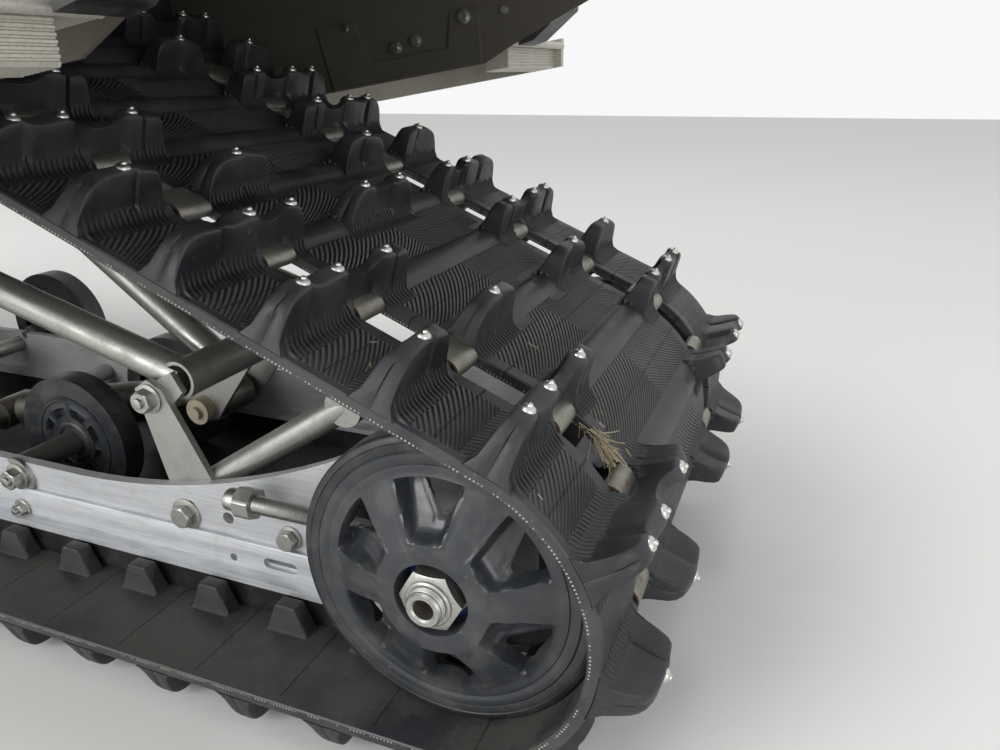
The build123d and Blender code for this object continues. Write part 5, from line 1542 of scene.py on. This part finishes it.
class RAIL_OT_flanges(bpy.types.Operator):
    """Build the raised lower half of each rail's outer face, with its slot and bore"""
    bl_idname = "track_module.rail_flanges"
    bl_label = "Rail flanges"

    def execute(self, context):
        strip = block("rail_flange_detail_left", (14.0, RAIL_FACE - 1.0, -69.5), (822.0, STRIP_FACE, -43.5),
                      1.2)
        # The slot: two half circles of this radius round its ends
        slot_r, slot_z = 4.0, -57.0
        line = []
        for centre, start in ((160.0, -90), (140.0, 90)):
            for i in range(9):
                turn = math.radians(start + 22.5 * i)
                line.append((centre + slot_r * math.cos(turn), slot_z + slot_r * math.sin(turn)))
        line.append(line[0])
        slot = fill_open_edges(shaped_grid("slot", 2, len(line), lambda row, column: place(
            line[column][0], 122.0 + 10.0 * row, line[column][1])))
        bore = cylinder("bore", (190.0, 122.0, -59.0), (190.0, 132.0, -59.0), 3.0, 24)
        for cutter in (slot, bore):
            apply_modifier(strip, "BOOLEAN", operation="DIFFERENCE", object=cutter, solver="EXACT")
            bpy.data.objects.remove(cutter)
        finish_pair(strip, "rail_flange_detail", 30, "frame", MATERIALS["rail"], "rail_alloy")
        return {"FINISHED"}


class BOARD_OT_bars(bpy.types.Operator):
    """Build the ribbed bars under the boards' rear ends"""
    bl_idname = "track_module.board_bars"
    bl_label = "Board bars"

    def execute(self, context):
        low_x, high_x, start_y, end_y = 126.0, 150.0, 248.0, 383.5
        # The bar's top slopes with the board: height at the rear and at the front
        rear_z, front_z, deep = 282.3, 278.5, 19.0
        line = [(high_x, front_z), (low_x + 1.0, rear_z), (low_x, rear_z - 1.0)]
        for i in range(6):
            z = rear_z - 2.0 - 2.7 * i
            line += [(low_x, z), (low_x + 0.9, z - 0.5), (low_x + 0.9, z - 1.1), (low_x, z - 1.6)]
        low_z, slope = rear_z - deep, (front_z - rear_z) / (high_x - low_x)
        line.append((low_x + 1.0, low_z))
        for i in range(7):
            x = low_x + 2.2 + 3.0 * i
            z = low_z + slope * (x - low_x)
            line += [(x, z), (x + 0.5, z + 0.9), (x + 1.2, z + 0.9), (x + 1.7, z)]
        line += [(high_x, front_z - deep), (high_x, front_z)]
        # Places along the bar, and how far its ends are rounded in
        places = [(start_y, 0.5), (start_y + 0.5, 0.0), (end_y - 0.5, 0.0), (end_y, 0.5)]
        middle_x, middle_z = (low_x + high_x) / 2, rear_z - deep / 2

        def shape(row, column):
            y, shrink = places[row]
            x, z = line[column]
            return place(x + (middle_x - x) * shrink / 12, y, z + (middle_z - z) * shrink / 10)

        bar = fill_open_edges(shaped_grid("board_bar_detail_left", len(places), len(line), shape))
        finish_pair(bar, "board_bar_detail", 30, "frame", MATERIALS["cast"], "board_alloy", "board_bar")
        return {"FINISHED"}


# Tunnel's wall and the board's flange, outer faces and heights in mm
WALL_FACE = 226.5
FLANGE_FACE = 229.5
WALL_RIVETS_Z = 416.0
FLANGE_RIVETS_UP = 15.0
BOARD_FLAT_Z = 234.0
BOARD_BEND_X = 450.0
BOARD_RISE = math.radians(9.0)
WALL_RIVETS_X = range(-40, 1540, 66)
FLANGE_RIVETS_X = range(150, 1330, 58)


class TUNNEL_OT_rivets(bpy.types.Operator):
    """Build the dome rivets along the tunnel's walls and the boards' flanges"""
    bl_idname = "track_module.tunnel_rivets"
    bl_label = "Tunnel rivets"

    def execute(self, context):
        # Half section of a dome head: radius, and height off the sheet
        profile = [(0.0, -0.4), (4.6, -0.4), (4.6, 0.4), (3.4, 1.3), (1.6, 1.8), (0.0, 1.9)]
        steps = 12

        def shape(row, column):
            r, h = profile[column]
            turn = 2 * math.pi * row / steps
            return Vector((r * math.cos(turn), h, r * math.sin(turn))) * MM

        rivet = face_out(shaped_grid("rivet", steps + 1, len(profile), shape))
        places = [(x, WALL_FACE, WALL_RIVETS_Z) for x in WALL_RIVETS_X]
        for x in FLANGE_RIVETS_X:
            board_z = BOARD_FLAT_Z + max(BOARD_BEND_X - x, 0.0) * math.tan(BOARD_RISE)
            places.append((x, FLANGE_FACE, board_z + FLANGE_RIVETS_UP))
        rivets = []
        for where in places:
            one = copied(rivet)
            one.data.transform(Matrix.Translation(place(*where)))
            rivets.append(one)
        bpy.data.objects.remove(rivet)
        near = join(rivets, "tunnel_rivets")
        rivets = smooth(join([near, mirrored(near)], "tunnel_rivets"), 40)
        finish(rivets, "frame", MATERIALS["zinc"], "zinc_steel")
        return {"FINISHED"}


# Track adjuster: its place across, and the thread's turns, radii and ends
ADJUSTER_Y = 144.0
ADJUSTER_THREAD = (22.0, 168.0, 1.75)
ADJUSTER_R = 6.0
ADJUSTER_ROOT_R = 5.2
ADJUSTER_STEPS = 24


class RAIL_OT_adjusters(bpy.types.Operator):
    """Build the threaded track adjusters, each with its block and hex nut"""
    bl_idname = "track_module.adjusters"
    bl_label = "Track adjusters"

    def execute(self, context):
        y = ADJUSTER_Y
        x, thread_end, pitch = ADJUSTER_THREAD
        thread = [(0.0, 20.0)]
        while x < thread_end:
            thread += [(ADJUSTER_R, x), (ADJUSTER_ROOT_R, x + 0.85)]
            x += pitch
        thread += [(5.4, 170.0), (0.0, 170.0)]

        def shape(row, column):
            r, x = thread[column]
            turn = 2 * math.pi * row / ADJUSTER_STEPS
            return place(x, y + r * math.cos(turn), r * math.sin(turn))

        rod = face_out(shaped_grid("adjuster_rod", ADJUSTER_STEPS + 1, len(thread), shape))
        nut = hex_nut("adjuster_nut", (150.0, y, 0.0), (163.0, y, 0.0), 19.0, 5.5, turn_deg=10.0)
        end = cylinder("adjuster_end", (163.0, y, 0.0), (172.0, y, 0.0), 7.5, 32, 1.2)
        head = block("adjuster_block", (18.0, 125.2, -12.0), (26.0, 153.4, 12.0), 1.2)
        plate = block("adjuster_plate", (78.0, 125.2, -12.0), (98.0, 152.0, 12.0), 1.2)
        near = join([rod, nut, end, head, plate], "adjuster_detail_left")
        finish_pair(near, "adjuster_detail", 32, "frame", MATERIALS["zinc"], "zinc_steel", "adjuster")
        return {"FINISHED"}


# Camera: yaw, pitch and roll in radians, place in mm about the rear axle, and lens in sensor widths
CAMERA_ANGLES = (-1.18493, 0.363957, -0.010555)
CAMERA_PLACE = (-166.551, 502.635, 259.766)
CAMERA_SENSOR = 36.0
CAMERA_LENS = 0.795972
# Light from the surroundings on the surfaces, and how much brighter they look themselves
WORLD_LIGHT = 0.74
WORLD_SEEN = 0.20


class STAGE_OT_studio(bpy.types.Operator):
    """Build the pale floor, the soft lights and the camera at the photograph's angle"""
    bl_idname = "track_module.studio"
    bl_label = "Studio"

    def execute(self, context):
        scene = context.scene
        deselect()
        bpy.ops.mesh.primitive_plane_add(size=14)
        floor = bpy.context.object
        floor.name = "floor"
        # Plain matt paint: pale and even, so that only the module's shadow shows
        made, tree, shader = new_material("studio_floor", Roughness=0.9)
        shader.inputs["Base Color"].default_value = linear("#dcdcda")
        floor.data.materials.append(made)
        world = bpy.data.worlds.new("studio_world")
        scene.world = world
        world.use_nodes = True
        tree = world.node_tree
        background = tree.nodes["Background"]
        path = add_node(tree, "ShaderNodeLightPath")
        seen = maths(tree, "MAXIMUM", path.outputs["Is Camera Ray"], path.outputs["Is Glossy Ray"])
        seen = maths(tree, "MAXIMUM", seen, path.outputs["Is Transmission Ray"])
        strength = maths(tree, "MULTIPLY_ADD", seen, WORLD_SEEN, WORLD_LIGHT)
        background.inputs["Color"].default_value = (1.0, 1.0, 1.0, 1.0)
        tree.links.new(strength, background.inputs["Strength"])
        # Soft lamps: name, place, aim, size and power
        lamps = [
            ("key", (0.7, 2.6, 1.3), (-0.5, 0.1, 0.15), 1.8, 62.0),
            ("above", (-0.1, 0.5, 2.8), (-0.5, 0.0, 0.2), 1.8, 34.0),
            ("rear", (-2.6, 1.4, 0.5), (-0.4, -0.1, 0.3), 1.2, 14.0),
        ]
        for name, where, aim, size, power in lamps:
            light = bpy.data.lights.new(name, "AREA")
            light.shape = "DISK"
            light.size = size
            light.energy = power
            lamp = bpy.data.objects.new(name, light)
            scene.collection.objects.link(lamp)
            lamp.location = where
            lamp.rotation_euler = (Vector(aim) - Vector(where)).to_track_quat("-Z", "Y").to_euler()
        self.add_camera(scene)
        scene.view_settings.view_transform = "Standard"
        return {"FINISHED"}

    def add_camera(self, scene):
        """Adds the camera at the photograph's place, turned as the photograph was."""
        yaw, pitch, roll = CAMERA_ANGLES
        ahead = Vector((math.cos(yaw) * math.cos(pitch), math.sin(yaw) * math.cos(pitch), -math.sin(pitch)))
        right = ahead.cross(Vector((0, 0, 1))).normalized()
        up = right.cross(ahead)
        tilted = math.cos(roll) * right + math.sin(roll) * up
        upright = -math.sin(roll) * right + math.cos(roll) * up
        matrix = Matrix((tilted, upright, -ahead)).transposed().to_4x4()
        matrix.translation = place(*CAMERA_PLACE)
        data = bpy.data.cameras.new("camera")
        data.sensor_width = CAMERA_SENSOR
        data.lens = CAMERA_SENSOR * CAMERA_LENS
        data.clip_start = 0.01
        camera = bpy.data.objects.new("camera", data)
        scene.collection.objects.link(camera)
        camera.matrix_world = matrix
        scene.camera = camera


# The stage first, then the materials, then the pieces
OPERATORS = [
    STAGE_OT_studio, FINISH_OT_materials, TRACK_OT_belts, TRACK_OT_lugs, TRACK_OT_clips, TRACK_OT_studs,
    TRACK_OT_fingers, TRACK_OT_drive_lugs, TRACK_OT_grass, WHEEL_OT_rear_wheels, WHEEL_OT_small_wheels,
    AXLE_OT_nuts, RAIL_OT_flanges, RAIL_OT_adjusters, RAIL_OT_hardware, BOARD_OT_bars, TUNNEL_OT_rivets,
]
GROUPS = [("track_settings", TrackSettings), ("wheel_settings", WheelSettings),
          ("metal_settings", MetalSettings)]


class VIEW3D_PT_track_module(bpy.types.Panel):
    """Lists the steps that build the module, and its settings"""
    bl_label = "Track Module"
    bl_idname = "VIEW3D_PT_track_module"
    bl_space_type = "VIEW_3D"
    bl_region_type = "UI"
    bl_category = "Track Module"

    def draw(self, context):
        layout = self.layout
        for name, group in GROUPS:
            settings = getattr(context.scene, name)
            for prop in group.__annotations__:
                layout.prop(settings, prop)
        for operator in OPERATORS:
            layout.operator(operator.bl_idname)


def register():
    """Registers the settings, the operators and the panel."""
    for group in [group for name, group in GROUPS] + OPERATORS + [VIEW3D_PT_track_module]:
        bpy.utils.register_class(group)
    for name, group in GROUPS:
        setattr(bpy.types.Scene, name, PointerProperty(type=group))


def unregister():
    """Takes out what register put in."""
    for name, group in GROUPS:
        delattr(bpy.types.Scene, name)
    for group in reversed([group for name, group in GROUPS] + OPERATORS + [VIEW3D_PT_track_module]):
        bpy.utils.unregister_class(group)


def main():
    """Builds the module with its operators."""
    register()
    random.seed(7)
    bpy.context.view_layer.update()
    for operator in OPERATORS:
        group, name = operator.bl_idname.split(".")
        result = getattr(getattr(bpy.ops, group), name)()
        if result != {"FINISHED"}:
            raise RuntimeError(operator.bl_label + " did not finish")


if __name__ == "__main__":
    main()
